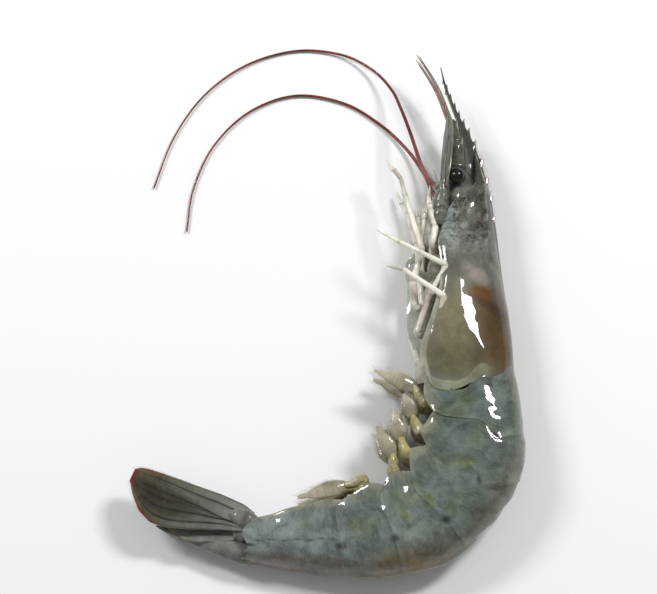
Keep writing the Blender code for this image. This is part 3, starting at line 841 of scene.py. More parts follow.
def relief(y, q, behind, wide):
    """Rims, grooves and bulges of the shield, as a share of its size."""
    rear_rim = 0.004 * bump_at(behind, 0.8, 0.6) - 0.008 * (1 - rise(behind, 0.0, 3.0))
    low_rim = 0.005 * rise(q, 0.94, 0.985) - 0.003 * bump_at(q, 0.93, 0.03)
    crest = 0.06 * bump_at(q, 0.0, 0.035) * rise(y, 6.0, 30.0)
    ridge = 0.05 * bump_at(q, 0.25, 0.03) * rise(y, 28.0, 40.0)
    neck = -0.022 * bump_at(y, 24.0 + 14.0 * (q - 0.35), 1.5) * rise(q, 0.05, 0.2) * (1 - rise(q, 0.55, 0.75))
    liver = 0.010 * bump_at(y, 11.0, 4.5) * bump_at(q, 0.60, 0.20) - 0.024 * bump_at(y, -3.6, 4.0)
    level = GILL_WIDTH - GILL_TAPER * np.clip(y - 15.0, 0.0, None)
    gill = np.clip(level / wide - 1, 0.0, 0.3) * (1 - rise(y, 25.5, 31.0)) * rise(q, 0.70, 0.84)
    gill = gill - 0.012 * bump_at(y, 20.6, 1.1) * rise(q, 0.70, 0.80)
    spine = 0.06 * bump_at(y, 37.5, 1.6) * bump_at(q, 0.72, 0.03)
    return OVER_RINGS + rear_rim + low_rim + crest + ridge + neck + liver + gill + spine


def shield_points(p, t, shrink):
    """Points at p round the shield and t along it, with their y and how far behind each the rear edge is."""
    q = np.abs(p)
    rear = CARAPACE[0][0] - bent(BORDERS[0], q)
    y = rear + (bent(FRONT_EDGE, q) - rear) * t
    at = section_at(y)
    corner = CORNER * (1 - rise(y - rear, 0.0, 5.5))
    reach, lean, under = (on_side(both, p, at) for both in (LOWER_REACH, SECTION_LEAN, SHIELD_UNDER))
    ease = (np.pi / 2 / (reach - corner) - 1) * rise(y - rear, 1.0, 8.0)
    curl = (p < 0) * rise(y, 0.0, 5.0) * (1 - rise(y, 24.0, 30.0))
    back, flank = outline(p, reach - corner, lean, under, at_sections(WIDEST, at), ease, curl)
    rows = track(SHIELD, at)
    uneven = ripple(on_body(rows, back, flank), 6.0, 12)
    swell = relief(y, q, y - rear, rows[..., 5]) + UNEVENNESS * uneven - shrink
    return on_body(rows, back, flank, swell), y, y - rear


# %% The shield's colours
BROAD_PATCHES = (  # x, y, half sizes along x and y, slant, colour, strength
    (13.0, 5.0, 9.0, 13.0, 0.0, (0.178, 0.158, 0.090), 1.0),  # gills, olive
    (10.4, -0.5, 4.6, 4.6, 0.0, (0.124, 0.117, 0.056), 0.8),  # the gills' dark lower corner
    (21.5, 5.5, 7.5, 13.0, 0.0, (0.068, 0.037, 0.005), 1.0),  # liver, brown
    (20.2, 12.0, 5.2, 2.1, -0.32, (0.050, 0.021, 0.003), 1.0),  # liver, darkest band
    (18.1, 14.7, 3.3, 2.0, -0.1, (0.125, 0.046, 0.001), 1.0),  # liver, orange edge
    (17.4, 19.0, 3.8, 2.6, -0.3, (0.250, 0.215, 0.180), 0.85),  # stomach wall, pinkish
    (14.0, 27.5, 9.5, 5.5, 0.0, (0.152, 0.160, 0.136), 0.9),  # front, grey
    (11.0, 31.5, 2.2, 7.0, 0.1, (0.270, 0.300, 0.275), 0.8),  # pale front edge
    (18.6, 36.5, 3.0, 8.0, 0.3, (0.058, 0.046, 0.036), 0.8),  # root of the rostrum, dark
)
PATCH_FADE = (0.30, 1.30)  # where a patch begins and ends to fade, as shares of its half sizes
SHIELD_GREY = (0.125, 0.125, 0.098)
PALE_BLOTCH = (0.30, 0.33, 0.30)
# painted shade in the hollows beside the notches for the eyes
NOTCH_SHADE = (0.030, 0.028, 0.022)  # beside the notches for the eyes
# the crest's own brown, painted darker still as shade along the back's edge
CREST_BROWN_AND_SHADE = (0.024, 0.011, 0.003)
BLADE_BROWN = (0.048, 0.042, 0.034)
RIDGE_PALE = (0.25, 0.24, 0.20)
REAR_RIM = (0.235, 0.244, 0.155)
REAR_RIM_LINE = (0.34, 0.34, 0.25)
LOWER_RIM = (0.30, 0.305, 0.230)
# the flap's pale shell, painted lighter still as light on its shaded face
LIT_PALE_FLAP = (0.46, 0.49, 0.41)
SMUDGE = (0.060, 0.070, 0.062)


def patched(points, ground):
    """The ground colour with the patches laid over it."""
    uneven = points + 0.7 * np.stack([ripple(points, 5.0, seed) for seed in (1, 2, 3)], axis=-1)
    layers = []
    for x, y, across, along, slant, colour, strength in BROAD_PATCHES:
        right, up = uneven[..., 0] - x, uneven[..., 1] - y
        far = np.hypot(right / across, (up - slant * right) / along)
        layers.append((colour, strength * (1 - rise(far, *PATCH_FADE))))
    return painted(points, ground, *layers)


def shield_tint(grid, p, y, behind):
    q = np.abs(p)
    band = 1.4 + 2.0 * bump_at(q, 0.43, 0.075) + 0.5 * rise(q, 0.62, 0.80)
    rim = (1 - rise(behind, band - 0.4, band + 0.3)) * rise(q, 0.33, 0.42)
    low = rise(q, 0.90, 0.94) * (1 - rise(y, 12.0, 24.0)) + rise(q, 0.955, 0.98)
    flap = rise(-p, 0.72, 0.80)
    return painted(
        grid, patched(grid, SHIELD_GREY),
        (PALE_BLOTCH, 0.55 * rise(ripple(grid, 2.6, 22), 0.3, 0.9) * rise(y, 22.0, 30.0)),
        # painted shade beside the eyes' notches
        (NOTCH_SHADE, 0.5 * bump_at(q, 0.42, 0.10) * rise(y, 37.5, 40.5)),
        # the crest's brown, with painted shade along the back's edge
        (CREST_BROWN_AND_SHADE, 0.9 * (1 - rise(q, 0.04, 0.20))),
        (BLADE_BROWN, 0.9 * (1 - rise(q, 0.17, 0.25)) * rise(y, 25.0, 37.0)),
        (BLADE_BROWN, 0.9 * rise(y, 42.0, 45.0)),
        (RIDGE_PALE, 0.7 * bump_at(q, 0.25, 0.022) * rise(y, 32.0, 42.0)),
        (REAR_RIM, (0.55 + 0.30 * rise(q, 0.50, 0.70)) * rim),
        (REAR_RIM_LINE, 0.5 * bump_at(behind, band, 0.25) * rise(q, 0.40, 0.5)),
        (LOWER_RIM, np.clip(0.92 * low, 0.0, 0.92)),
        # pale flap, with painted light on its shaded face
        (LIT_PALE_FLAP, 0.9 * flap * (1 - 0.4 * rise(ripple(grid, 5.0, 24), 0.2, 0.8))),
        (SMUDGE, 0.7 * flap * rise(ripple(grid, 1.5, 25), 1.0, 1.3)),
    )


# %% The shield's form
END_ROWS = (0.015, 0.99)  # the closed ends, rear and front,
END_DEPTH = 0.35  # lie deep inside, out of sight
LINING_TOP = 0.6  # place round the section up to which the lower edges are turned in
LINING_DEPTH = 0.06


def shield():
    t = np.concatenate([END_ROWS[:1], np.linspace(0.0, 1.0, SHIELD_ROWS), END_ROWS[1:]])[:, None]
    inside = np.where(np.isin(t, END_ROWS), END_DEPTH, 0.0)
    p = np.linspace(-1.0, 1.0, SHIELD_COLUMNS)
    outer, y, behind = shield_points(p, t, inside)
    turned_in = np.linspace(1.0, LINING_TOP, LINING_COLUMNS)
    left = shield_points(turned_in, t, inside + LINING_DEPTH)[0]
    right = shield_points(-turned_in[::-1], t, inside + LINING_DEPTH)[0]
    grid = np.concatenate([outer, left, right], axis=1)
    p = np.concatenate([p, turned_in, -turned_in[::-1]])[None, :] + 0 * t
    y = np.concatenate([y, y[:, :LINING_COLUMNS * 2]], axis=1)
    behind = np.concatenate([behind, 9 + 0 * behind[:, :LINING_COLUMNS * 2]], axis=1)
    crowded = rise(y, 19.0, 31.0) * (0.85 + 0.25 * ripple(grid, 5.0, 23))
    return form(grid, shield_tint(grid, p, y, behind), speck=1.0 + crowded)


# %% [markdown]
# ## The rostrum
# The rostrum is a thin toothed blade that grows out of the crest of the back and runs forward over
# the eyes. It is a grid that goes up one face and down the other. Its upper edge is a row of forward
# spines, pink-white at the points with painted shade between them, made by one formula that repeats.

# %% The blade's sizes
ROSTRUM_TOP = (
    (21.7, 24.5), (21.6, 35.5), (20.2, 44.9), (17.6, 53.4),
    (15.3, 58.4), (13.4, 62.8), (11.7, 67.6), (10.5, 72.6),
)
ROSTRUM_UNDER = (
    (19.0, 24.5), (17.4, 35.5), (15.7, 44.9), (15.3, 51.4),
    (14.3, 56.8), (12.8, 61.6), (11.3, 66.6), (10.3, 72.4),
)
ROSTRUM_ROWS = 330
ROSTRUM_COLUMNS = 27
ROSTRUM_THICKNESS = 1.0
ROSTRUM_HEIGHT = 10.2
TEETH = 11
TEETH_START = 0.06
TEETH_RUN = 0.80
TOOTH_HEIGHT = 0.95
TOOTH_LEAN = 0.8  # mm that a tooth's point leans forward
LOWER_SPINES = (0.84, 0.91)
FORWARD = np.array((-0.30, 0.95))
BLADE_RIDGE = (0.22, 0.21, 0.18)
# painted shade in the gaps between the spines
SPINE_GAP_SHADE = (0.014, 0.013, 0.012)
TOOTH_PINK = (0.46, 0.36, 0.33)


def two_faces(places):
    """Places across one face of a blade and back across the other, and which face each is on."""
    there_and_back = np.concatenate([places, places[-2:0:-1]])
    return there_and_back, np.concatenate([np.ones(len(places)), -np.ones(len(places) - 2)])


def rostrum():
    t = np.linspace(0.0, 1.0, ROSTRUM_ROWS)
    top, under = (track(np.array(edge), t * (len(edge) - 1)) for edge in (ROSTRUM_TOP, ROSTRUM_UNDER))
    phase = (t - TEETH_START) / TEETH_RUN * TEETH
    tooth = rise(phase % 1.0, 0.42, 0.88) ** 1.4 * (1 - rise(phase % 1.0, 0.90, 0.99))
    tooth = tooth * (phase >= 0) * (phase < TEETH) * (1 - 0.45 * rise(t, 0.4, 0.95))
    out = top - under
    out = unit(out)
    spines = sum(bump_at(t, place, 0.008) for place in LOWER_SPINES)
    top = top + out * (tooth * TOOTH_HEIGHT)[:, None] + FORWARD * (tooth * TOOTH_LEAN)[:, None]
    under = under - out * (0.5 * spines)[:, None]
    level, face = two_faces(np.linspace(0.0, 1.0, ROSTRUM_COLUMNS))
    thick = np.sqrt(np.clip(1 - np.abs(2 * level - 1) ** 2.4, 0.0, 1.0)) * (1 - 0.55 * level)
    thick = (thick + 0.45 * bump_at(level, 0.16, 0.12)) * ROSTRUM_THICKNESS / 2
    thick = thick * (1 - 0.75 * t[:, None] ** 1.4)
    flat = under[:, None, :] + (top - under)[:, None, :] * level[None, :, None]
    grid = np.concatenate([flat, (ROSTRUM_HEIGHT + face * thick)[..., None]], axis=-1)
    level = level + 0 * t[:, None]
    tint = painted(
        grid, BLADE_BROWN,
        (BLADE_RIDGE, 0.9 * bump_at(level, 0.10, 0.11)),
        # painted shade between the spines
        (SPINE_GAP_SHADE, 0.8 * rise(level, 0.62, 0.82) * (1 - tooth[:, None])),
        (TOOTH_PINK, rise(tooth[:, None] * rise(level, 0.78, 0.97), 0.15, 0.6)),
    )
    return form(grid, tint, speck=0.6)


# %% [markdown]
# Reddish bristles stand along the rostrum's rear half. Each is a thin tube with three sides, and the
# same two functions make the limbs and the fringes further on.

# %% Tubes and bristles
TILTED_UP = UP + 0.001  # never quite along a limb
HAIR_BEND = 0.045  # about how far a bristle's tip bends away, as a share of its length
HAIR_LOWEST = 0.06  # mm above the table


def tube(path, radii, tint, speck=0.0, sides=14, flatness=1.0, lumps=0.0):
    """A round limb along the path. flatness is its height as a share of its width."""
    path = np.asarray(path, float)
    radii = np.broadcast_to(np.asarray(radii, float), len(path))
    along = unit(np.gradient(path, axis=0))
    side = unit(np.cross(along, TILTED_UP))
    over = np.cross(side, along)
    turn = np.arange(sides) * 2 * np.pi / sides
    wide = side[:, None, :] * np.cos(turn)[None, :, None]
    high = over[:, None, :] * np.sin(turn)[None, :, None] * flatness
    grid = path[:, None, :] + (wide + high) * radii[:, None, None]
    if lumps:
        grid = grid + (wide + high) * (lumps * ripple(grid, 1.8, 17))[..., None]
    tint = np.asarray(tint, float)
    return form(grid, tint[:, None, :] if tint.ndim == 2 else tint, speck)


def hairs(roots, directions, lengths, tint, radius, seed=5):
    """Thin bristles: each a three-sided spike with a slight bend."""
    chance = np.random.default_rng(seed)
    directions = np.broadcast_to(directions, (len(roots), 3))
    lengths = np.broadcast_to(lengths, len(roots))
    t = np.array((0.0, 0.5, 1.0))[:, None]
    made = []
    for root, direction, length in zip(roots, directions, lengths):
        length = length * chance.uniform(0.7, 1.15)
        direction = unit(direction + chance.normal(size=3) * 0.10)
        bend = chance.normal(size=3) * HAIR_BEND * length
        path = root + direction * length * t + bend * t**2
        path[:, 2] = np.maximum(path[:, 2], HAIR_LOWEST)
        made.append(tube(path, (radius, radius * 0.7, radius * 0.15), tint, sides=3))
    return made


# %% The finished carapace
CREST_HAIRS = 60
spots = np.linspace(0.03, 0.42, CREST_HAIRS)
roots = track(np.array(ROSTRUM_TOP), spots * (len(ROSTRUM_TOP) - 1))
roots = np.column_stack([roots, np.full(CREST_HAIRS, ROSTRUM_HEIGHT)])
crest_hairs = hairs(roots, (0.55, 0.8, 0.1), 1.3, (0.16, 0.05, 0.045), 0.045, seed=4)
made = piece("carapace_shell", [shield(), rostrum(), *crest_hairs], SHIELD_SHELL, "shell", "carapace")
print(made.name, len(made.data.polygons), "faces")


# %% [markdown]
# ## Paths and leaves
# Legs, antennae and eye stalks are tubes along a path, and the blades of the tail and the antennal
# scales are leaves: a midline, a width on each side of it that changes along it, and raised ribs.

# %% Paths, balls and leaves
CORNER_ROUNDS = 2
BALL_ROWS = 28
BALL_SIDES = 40


def dense(points, spacing):
    """Points closer together along a jointed path, with its corners rounded a little."""
    points = np.asarray(points, float)
    far = np.concatenate([[0.0], np.cumsum(np.linalg.norm(np.diff(points, axis=0), axis=1))])
    steps = np.linspace(0.0, far[-1], max(8, int(far[-1] / spacing)))
    path = np.stack([np.interp(steps, far, points[:, n]) for n in range(3)], axis=1)
    for _ in range(CORNER_ROUNDS):
        path[1:-1] = (path[:-2] + 2 * path[1:-1] + path[2:]) / 4
    return path, steps, far


def curved(points, steps):
    """A smooth curve through the points."""
    points = np.asarray(points, float)
    return track(points, np.linspace(0, len(points) - 1, steps))


def ball(middle, radii, tint):
    angle = np.linspace(0.02, np.pi - 0.02, BALL_ROWS)[:, None]
    turn = np.arange(BALL_SIDES)[None, :] * 2 * np.pi / BALL_SIDES
    shape = [np.sin(angle) * np.cos(turn), np.sin(angle) * np.sin(turn), np.cos(angle) + 0 * turn]
    return form(np.asarray(middle) + np.stack(shape, axis=-1) * np.asarray(radii), tint, speck=0.0)


def leaf(root, tip, across, edges, thickness, paint, ribs, rows=90, columns=41):
    """A thin blade. edges are two rows of (place along, mm out), ribs are (place across, height)."""
    root, tip, across = (np.asarray(v, float) for v in (root, tip, unit(np.asarray(across, float))))
    through = np.cross(unit(tip - root), across)
    t = np.linspace(0.0, 1.0, rows)[:, None]
    level, face = two_faces(np.linspace(-1.0, 1.0, columns))
    low, high = (bent(edge, t, 0.012) for edge in edges)
    out = np.where(level < 0, low * level, high * level)
    thick = thickness / 2 * (0.25 + 0.75 * (1 - np.abs(level) ** 1.6)) * (1 - 0.6 * t)
    for place, height in ribs:
        thick = thick + height * bump_at(level, place, 0.05) * (1 - 0.8 * t)
    spine = root + (tip - root) * t[..., None]
    grid = spine + across * out[..., None] + through * (face * thick)[..., None]
    grid[..., 2] = np.maximum(grid[..., 2], 0.05)
    return form(grid, paint(t + 0 * level, level + 0 * t, grid), speck=0.8)


print("tube and leaf helpers ready")

# %% [markdown]
# ## The head
# Between the shield's front edge and the feelers sits the head itself: a dark, mottled core with the
# two eyes on short stalks. An eye is a polished black ball, so it's a sphere with almost no roughness.

# %% Core, stalks and eyes
HEAD_MIDDLE = 9.8
EYE_PLACE = np.array((13.3, 43.2))
EYE_RADIUS = 2.0
EYE_SIDE = 4.9
STALK_ROOT = np.array((15.3, 43.0))
SIDES = (("left", 1), ("right", -1))
HEAD_GREY = (0.120, 0.124, 0.098)
HEAD_DARK = (0.040, 0.042, 0.033)

core_knots = ((15.5, 27.0, 9.0), (15.4, 33.0, 9.2), (15.0, 38.0, 9.5), (14.2, 42.5, 9.8), (13.2, 47.0, 9.8))
core_path = curved(core_knots, 60)
core_radii = np.interp(np.linspace(0, 1, 60), (0, 0.3, 0.6, 0.85, 1), (5.0, 4.6, 4.0, 3.2, 1.8))
core = tube(core_path, core_radii, mottled(core_path, HEAD_GREY, HEAD_DARK, 2.5, 30), 1.0, 36, 1.12)
piece("head_core", [core], SHIELD_SHELL, "shell")

for side, sign in SIDES:
    eye = np.array((*EYE_PLACE, HEAD_MIDDLE + sign * EYE_SIDE))
    root = np.array((*STALK_ROOT, HEAD_MIDDLE + sign * 1.6))
    neck = eye + unit(root - eye) * EYE_RADIUS * 0.6
    path = root + (neck - root) * np.linspace(0, 1, 12)[:, None]
    radii = 0.9 + 0.75 * rise(np.linspace(0, 1, 12), 0.3, 1.0)
    piece(f"stalk_{side}", [tube(path, radii, (0.075, 0.072, 0.052), 1.0)], SHIELD_SHELL, "shell",
          f"eyestalk_{side}")
    radii = EYE_RADIUS * np.array((0.96, 1.06, 0.95))
    piece(f"eyeball_{side}", [ball(eye, radii, (0.002, 0.002, 0.0015))], EYE, "eye", f"eye_{side}")
print("head core, stalks and eyes")

# %% [markdown]
# The first feelers, the antennules, have a broad jointed stem and two short whips each. The second
# ones have a stout base, a flat scale that steers when swimming, and the long red whip. The whips
# are ringed tubes: hundreds of tiny joints, made by a wave in the radius.

# %% Antennules
ANTENNULE = ((13.4, 40.6), (13.6, 46.0), (13.5, 52.5), (12.4, 58.5), (9.6, 67.0), (5.4, 75.0))
ANTENNULE_SIDE = 1.5
WHIP_ROWS = 110
WHIP_RED = (0.20, 0.13, 0.10)
SPIKE_CREAM = (0.40, 0.37, 0.29)


def antennule(sign):
    stem = np.array([(x, y, HEAD_MIDDLE + sign * ANTENNULE_SIDE) for x, y in ANTENNULE[:4]])
    path, steps, joints = dense(stem, 0.25)
    radii = np.interp(steps, joints, (2.2, 2.15, 1.75, 1.05))
    for place in joints[1:]:
        radii = radii * (1 - 0.20 * bump_at(steps, place, 0.35)) + 0.12 * bump_at(steps, place - 0.7, 0.4)
    tint = mottled(path, (0.125, 0.112, 0.078), (0.065, 0.058, 0.042), 3.0, 33 + sign)
    parts = [tube(path, radii, tint, 1.5, 28, 0.72, 0.03)]
    spikes = path[[np.searchsorted(steps, place - 0.3) for place in joints[1:3]]]
    for side in (-1, 1):
        roots = spikes + np.array((side * 1.3, 0.0, 0.2))
        parts += hairs(roots, (side * 0.25, 1.0, 0.1), (3.0, 2.2), SPIKE_CREAM, 0.30, seed=3)
    for whip in (-1, 1):
        knots = [(x - 0.35 * n * (whip > 0), y, HEAD_MIDDLE + sign * ANTENNULE_SIDE + whip * 0.25 * n)
                 for n, (x, y) in enumerate(ANTENNULE[3:])]
        radii = np.linspace(0.50, 0.10, WHIP_ROWS) * (1 + 0.10 * np.sin(np.arange(WHIP_ROWS) * 2.1))
        parts.append(tube(curved(knots, WHIP_ROWS), radii, WHIP_RED, 0.3, sides=8))
    return parts


for side, sign in SIDES:
    piece(f"antennule_stem_{side}", antennule(sign), SHIELD_SHELL, "shell", f"antennule_{side}")
print("antennules")

# %% Antennal scales and bases
SCALE_ROOT = (10.7, 42.6)
SCALE_SIDE = 4.5
SCALE_LENGTH = 16.4
SCALE_HEADING = math.radians(86.0)
SCALE_TILT = math.radians(68.0)
SCALE_EDGES = (  # outer and inner: place along, mm out
    ((0, 1.3), (0.25, 2.2), (0.6, 2.2), (0.86, 1.7), (0.93, 1.4), (1, 0.1)),
    ((0, 1.0), (0.2, 2.4), (0.5, 3.0), (0.75, 2.6), (0.88, 1.5), (0.94, 0.6), (1, 0.1)),
)
SCALE_RIBS = ((0.80, 0.20), (0.2, 0.14), (-0.4, 0.12))
SCALE_HAIRS = 60
ANTENNAL_BASE = ((9.6, 36.6, 3.5), (10.1, 42.0, 3.9))


def scale_paint(t, w, grid):
    return painted(
        grid, mottled(grid, (0.062, 0.067, 0.052), (0.034, 0.036, 0.026), 2.4, 31),
        ((0.13, 0.115, 0.060), 0.8 * bump_at(w, 0.55, 0.16)),
        ((0.24, 0.25, 0.20), 0.7 * rise(np.abs(w), 0.78, 0.98)),
    )


def antennal_scale(sign):
    root = np.array((*SCALE_ROOT, HEAD_MIDDLE + sign * SCALE_SIDE))
    ahead = np.array((math.cos(SCALE_HEADING), math.sin(SCALE_HEADING), 0.0))
    level = np.array((ahead[1], -ahead[0], 0.0))
    across = level * math.cos(SCALE_TILT) + UP * sign * math.sin(SCALE_TILT)
    root = root - ahead * 2.0
    tip = root + ahead * (SCALE_LENGTH + 2.0)
    blade = leaf(root, tip, across, SCALE_EDGES, 0.7, scale_paint, SCALE_RIBS)
    t = np.linspace(0.35, 0.97, SCALE_HAIRS)
    roots = root + (tip - root) * t[:, None] + across * bent(SCALE_EDGES[1], t)[:, None]
    fringe = hairs(roots, ahead * 0.9 + across * 0.5, 1.0, (0.26, 0.24, 0.19), 0.03, seed=35)
    return [blade, *fringe]


def antennal_base(sign):
    knots = np.array([(x, y, HEAD_MIDDLE + sign * out) for x, y, out in ANTENNAL_BASE])
    path = knots[0] + (knots[1] - knots[0]) * np.linspace(-0.9, 1.0, 60)[:, None]
    radii = np.interp(np.linspace(0, 1, 60), (0, 0.3, 0.36, 0.7, 0.76, 1), (1.5, 1.75, 1.5, 1.7, 1.4, 1.1))
    tint = mottled(path, (0.165, 0.165, 0.130), (0.075, 0.078, 0.060), 2.0, 36)
    spike_root = knots[1:] + (-1.2, -0.6, sign * 0.6)
    spike = hairs(spike_root, (-0.15, 1.0, 0.1 * sign), 3.4, (0.30, 0.29, 0.23), 0.5)
    return [tube(path, radii, tint, 1.4, 28, 1.0, 0.06), *spike]


for side, sign in SIDES:
    piece(f"scale_{side}", antennal_scale(sign), SHIELD_SHELL, "shell", f"antennal_scale_{side}")
    piece(f"feeler_base_{side}", antennal_base(sign), SHIELD_SHELL, "shell", f"antennal_base_{side}")
print("scales and feeler bases")

# %% The long red feelers
ANTENNAE = {
    "left": (
        (7.2, 42.6, 13.4), (5.3, 47.0, 12.4), (3.1, 55.7, 10.0), (0.9, 63.6, 7.2), (-1.2, 69.4, 4.8),
        (-5.6, 75.4, 2.6), (-13.0, 80.0, 1.2), (-24.0, 81.2, 0.8), (-36.0, 77.4, 0.8),
        (-46.0, 69.4, 0.8), (-53.0, 58.4, 0.8), (-57.4, 45.6, 0.8),
    ),
    "right": (
        (8.0, 43.2, 5.4), (6.4, 48.2, 3.6), (2.6, 55.0, 1.6), (-3.4, 61.6, 0.8), (-12.4, 67.4, 0.8),
        (-24.0, 69.4, 0.8), (-35.0, 65.2, 0.8), (-43.4, 56.4, 0.8), (-48.0, 45.4, 0.8),
        (-49.4, 34.6, 0.8),
    ),
}
FEELER_RADII = (0.62, 0.20)
RING_SPACING = 0.45
FEELER_RED = (0.17, 0.030, 0.028)
FEELER_PALE = (0.30, 0.11, 0.10)
FEELER_DARK = (0.060, 0.012, 0.012)
FEELER_ROOT = (0.30, 0.24, 0.18)


def feeler(side, sign):
    knots = np.array([(9.4, 41.0, HEAD_MIDDLE + sign * 4.0), *ANTENNAE[side]])
    path = curved(knots, 1000)
    path[:, 2] = np.maximum(path[:, 2] - 0.15, FEELER_RADII[0] * 0.9)
    t = np.linspace(0.0, 1.0, len(path))
    length = np.linalg.norm(np.diff(path, axis=0), axis=1).sum()
    rings = np.sin(t * length / RING_SPACING * 2 * np.pi)
    radii = FEELER_RADII[0] + (FEELER_RADII[1] - FEELER_RADII[0]) * t**0.6
    radii = radii * (1 + 0.03 * rings) * (1 + 0.9 * (1 - rise(t, 0.012, 0.045)))
    tint = painted(
        path, FEELER_RED,
        (FEELER_PALE, 0.5 * rise(ripple(path, 24.0, 41 + sign), 0.1, 0.8)),
        (FEELER_DARK, 0.5 * rise(ripple(path, 15.0, 44 + sign), 0.2, 0.8)),
        (FEELER_ROOT, 1 - rise(t, 0.015, 0.06)),
    )
    return [tube(path, radii, tint, 0.2, sides=10)], length


for side, sign in SIDES:
    parts, length = feeler(side, sign)
    made = piece(f"feeler_{side}", parts, ANTENNA, "antenna", f"antenna_{side}")
    print(made.name, round(length), "mm")

# %% [markdown]
# ## The walking legs
# A leg is a chain of stiff, milky tubes with a soft joint between each two: thicker at the joints,
# pinched right at the bend. The first three pairs end in small pincers, the last two in a point.

# %% The legs' routes
LEG_RADII = (1.1, 0.95, 0.8, 0.6, 0.32)
MOUTH_LEG_RADII = (0.8, 0.75, 0.4)
LEGS = {
    "leg_1_left": ((7.6, 26.8, 13.5), (8.3, 31.5, 13.6), (7.4, 35.5, 13.4), (6.8, 38.8, 12.8)),
    "leg_2_left": ((4.9, 20.5, 11.0), (4.8, 28.0, 10.6), (6.1, 34.0, 11.0), (6.2, 37.0, 11.4)),
    "leg_3_left": (
        (3.4, 12.5, 12.0), (3.0, 18.3, 13.0), (5.2, 25.3, 14.0), (1.5, 38.8, 13.5),
        (0.6, 43.4, 12.4), (-2.8, 48.9, 10.6),
    ),
    "leg_4_left": (
        (3.7, 6.0, 12.8), (6.8, 14.5, 14.5), (10.5, 20.9, 16.8), (0.0, 26.7, 16.0),
        (-5.3, 30.6, 13.4),
    ),
    "leg_5_left": (
        (5.2, 1.0, 13.6), (9.9, 13.3, 17.3), (0.6, 19.9, 17.0), (-3.1, 21.4, 14.6),
    ),
    "leg_1_right": ((8.0, 27.0, 4.0), (7.9, 33.0, 4.0), (7.2, 37.5, 3.6), (6.8, 40.0, 3.2)),
    "leg_2_right": ((6.0, 20.5, 3.8), (5.6, 28.0, 4.2), (5.2, 35.0, 4.2), (4.8, 40.0, 3.6)),
    "leg_3_right": (
        (5.6, 13.0, 6.6), (4.9, 21.0, 6.4), (4.4, 30.0, 5.2), (2.2, 38.0, 3.6), (0.0, 44.0, 2.0),
    ),
    "leg_4_right": (
        (5.2, 7.2, 3.2), (5.2, 13.0, 2.6), (5.0, 22.0, 2.4), (4.2, 28.0, 2.0), (2.4, 33.0, 1.2),
    ),
    "leg_5_right": (
        (4.6, 1.5, 4.0), (2.9, 8.0, 2.2), (3.0, 18.0, 1.4), (4.6, 25.0, 1.2), (5.2, 30.0, 0.9),
    ),
    "mouth_leg_left": ((8.2, 34.2, 10.0), (7.2, 38.0, 10.6), (7.3, 42.4, 10.8)),
    "mouth_leg_right": ((8.2, 34.2, 8.0), (7.2, 38.0, 8.3), (7.3, 42.4, 8.4)),
}
CREAM = (0.80, 0.77, 0.66)
LEG_GREY = (0.36, 0.36, 0.29)
LEG_PINK = (0.48, 0.38, 0.33)
JOINT_BROWN = (0.26, 0.20, 0.14)
BRISTLE = (0.50, 0.44, 0.36)


# %% One leg
def pincers(path, radii, tint, steps, open_at, last):
    """The palm and the two fingers at a leg's end."""
    keep = steps <= open_at
    palm = radii * (1 + 0.35 * bump_at(steps, open_at, 0.35 * last))
    parts = [tube(path[keep], palm[keep], tint[keep], 0.5)]
    fingers = path[~keep]
    run = np.linspace(0, 1, len(fingers))
    side = unit(np.cross(unit(fingers[-1] - fingers[0]), TILTED_UP))
    finger_radii = np.interp(run, (0, 0.2, 1), (0.36, 0.34, 0.08))
    for sign in (-1, 1):
        spread = side * (sign * 0.30 * (1 - 0.7 * run**2))[:, None]
        parts.append(tube(fingers + spread, finger_radii, CREAM, 0.3, sides=10))
    return parts


def leg_tint(path, steps, joints, seed):
    return painted(
        path, CREAM,
        (LEG_GREY, 0.75 * rise(ripple(path, 6.0, seed), 0.0, 0.8)),
        (LEG_PINK, 0.8 * rise(ripple(path, 9.0, seed + 1), 0.2, 0.8)),
        (LEG_GREY, 0.6 * (1 - rise(steps, 1.0, 6.0))),
        *((JOINT_BROWN, 0.5 * bump_at(steps, place, 0.35)) for place in joints[2:-1]),
    )


def leg(name, knots):
    knots = np.array(knots)
    mouth = name.startswith("mouth")
    hip = knots[0] + (np.array((11.0, knots[0][1] - 1.0, 9.0)) - knots[0]) * 0.35
    path, steps, joints = dense([hip, *knots], 0.3)
    thickness = MOUTH_LEG_RADII if mouth else LEG_RADII
    knees = np.interp(np.linspace(0, 1, len(joints)), np.linspace(0, 1, len(thickness)), thickness)
    radii = np.interp(steps, joints, knees) * (0.92 if mouth else 0.88)
    for place in joints[1:-1]:
        radii = radii * (1 + 0.20 * bump_at(steps, place, 1.0)) * (1 - 0.24 * bump_at(steps, place, 0.28))
    seed = sum(map(ord, name))
    tint = leg_tint(path, steps, joints, seed)
    if name.startswith(("leg_1", "leg_2", "leg_3")):
        last = joints[-1] - joints[-2]
        parts = pincers(path, radii, tint, steps, joints[-1] - 0.55 * last, last)
    else:
        parts = [tube(path, radii * (1 - 0.75 * rise(steps, joints[-1] - 1.8, joints[-1])), tint, 0.6)]
    chance = np.random.default_rng(seed)
    count = 46 if mouth else 26
    spots = chance.integers(len(path) // 3, len(path) - 2, count)
    ahead = unit(path[spots + 1] - path[spots])
    out = unit(np.cross(ahead, chance.normal(size=(count, 3))))
    roots = path[spots] + out * radii[spots, None] * 0.8
    return parts + hairs(roots, out + ahead * 0.9, 1.5 if mouth else 0.9, BRISTLE, 0.03, seed=seed)


for name, knots in LEGS.items():
    piece(f"{name}_limb", leg(name, knots), LEG, "leg", name)
print("legs:", len(LEGS))
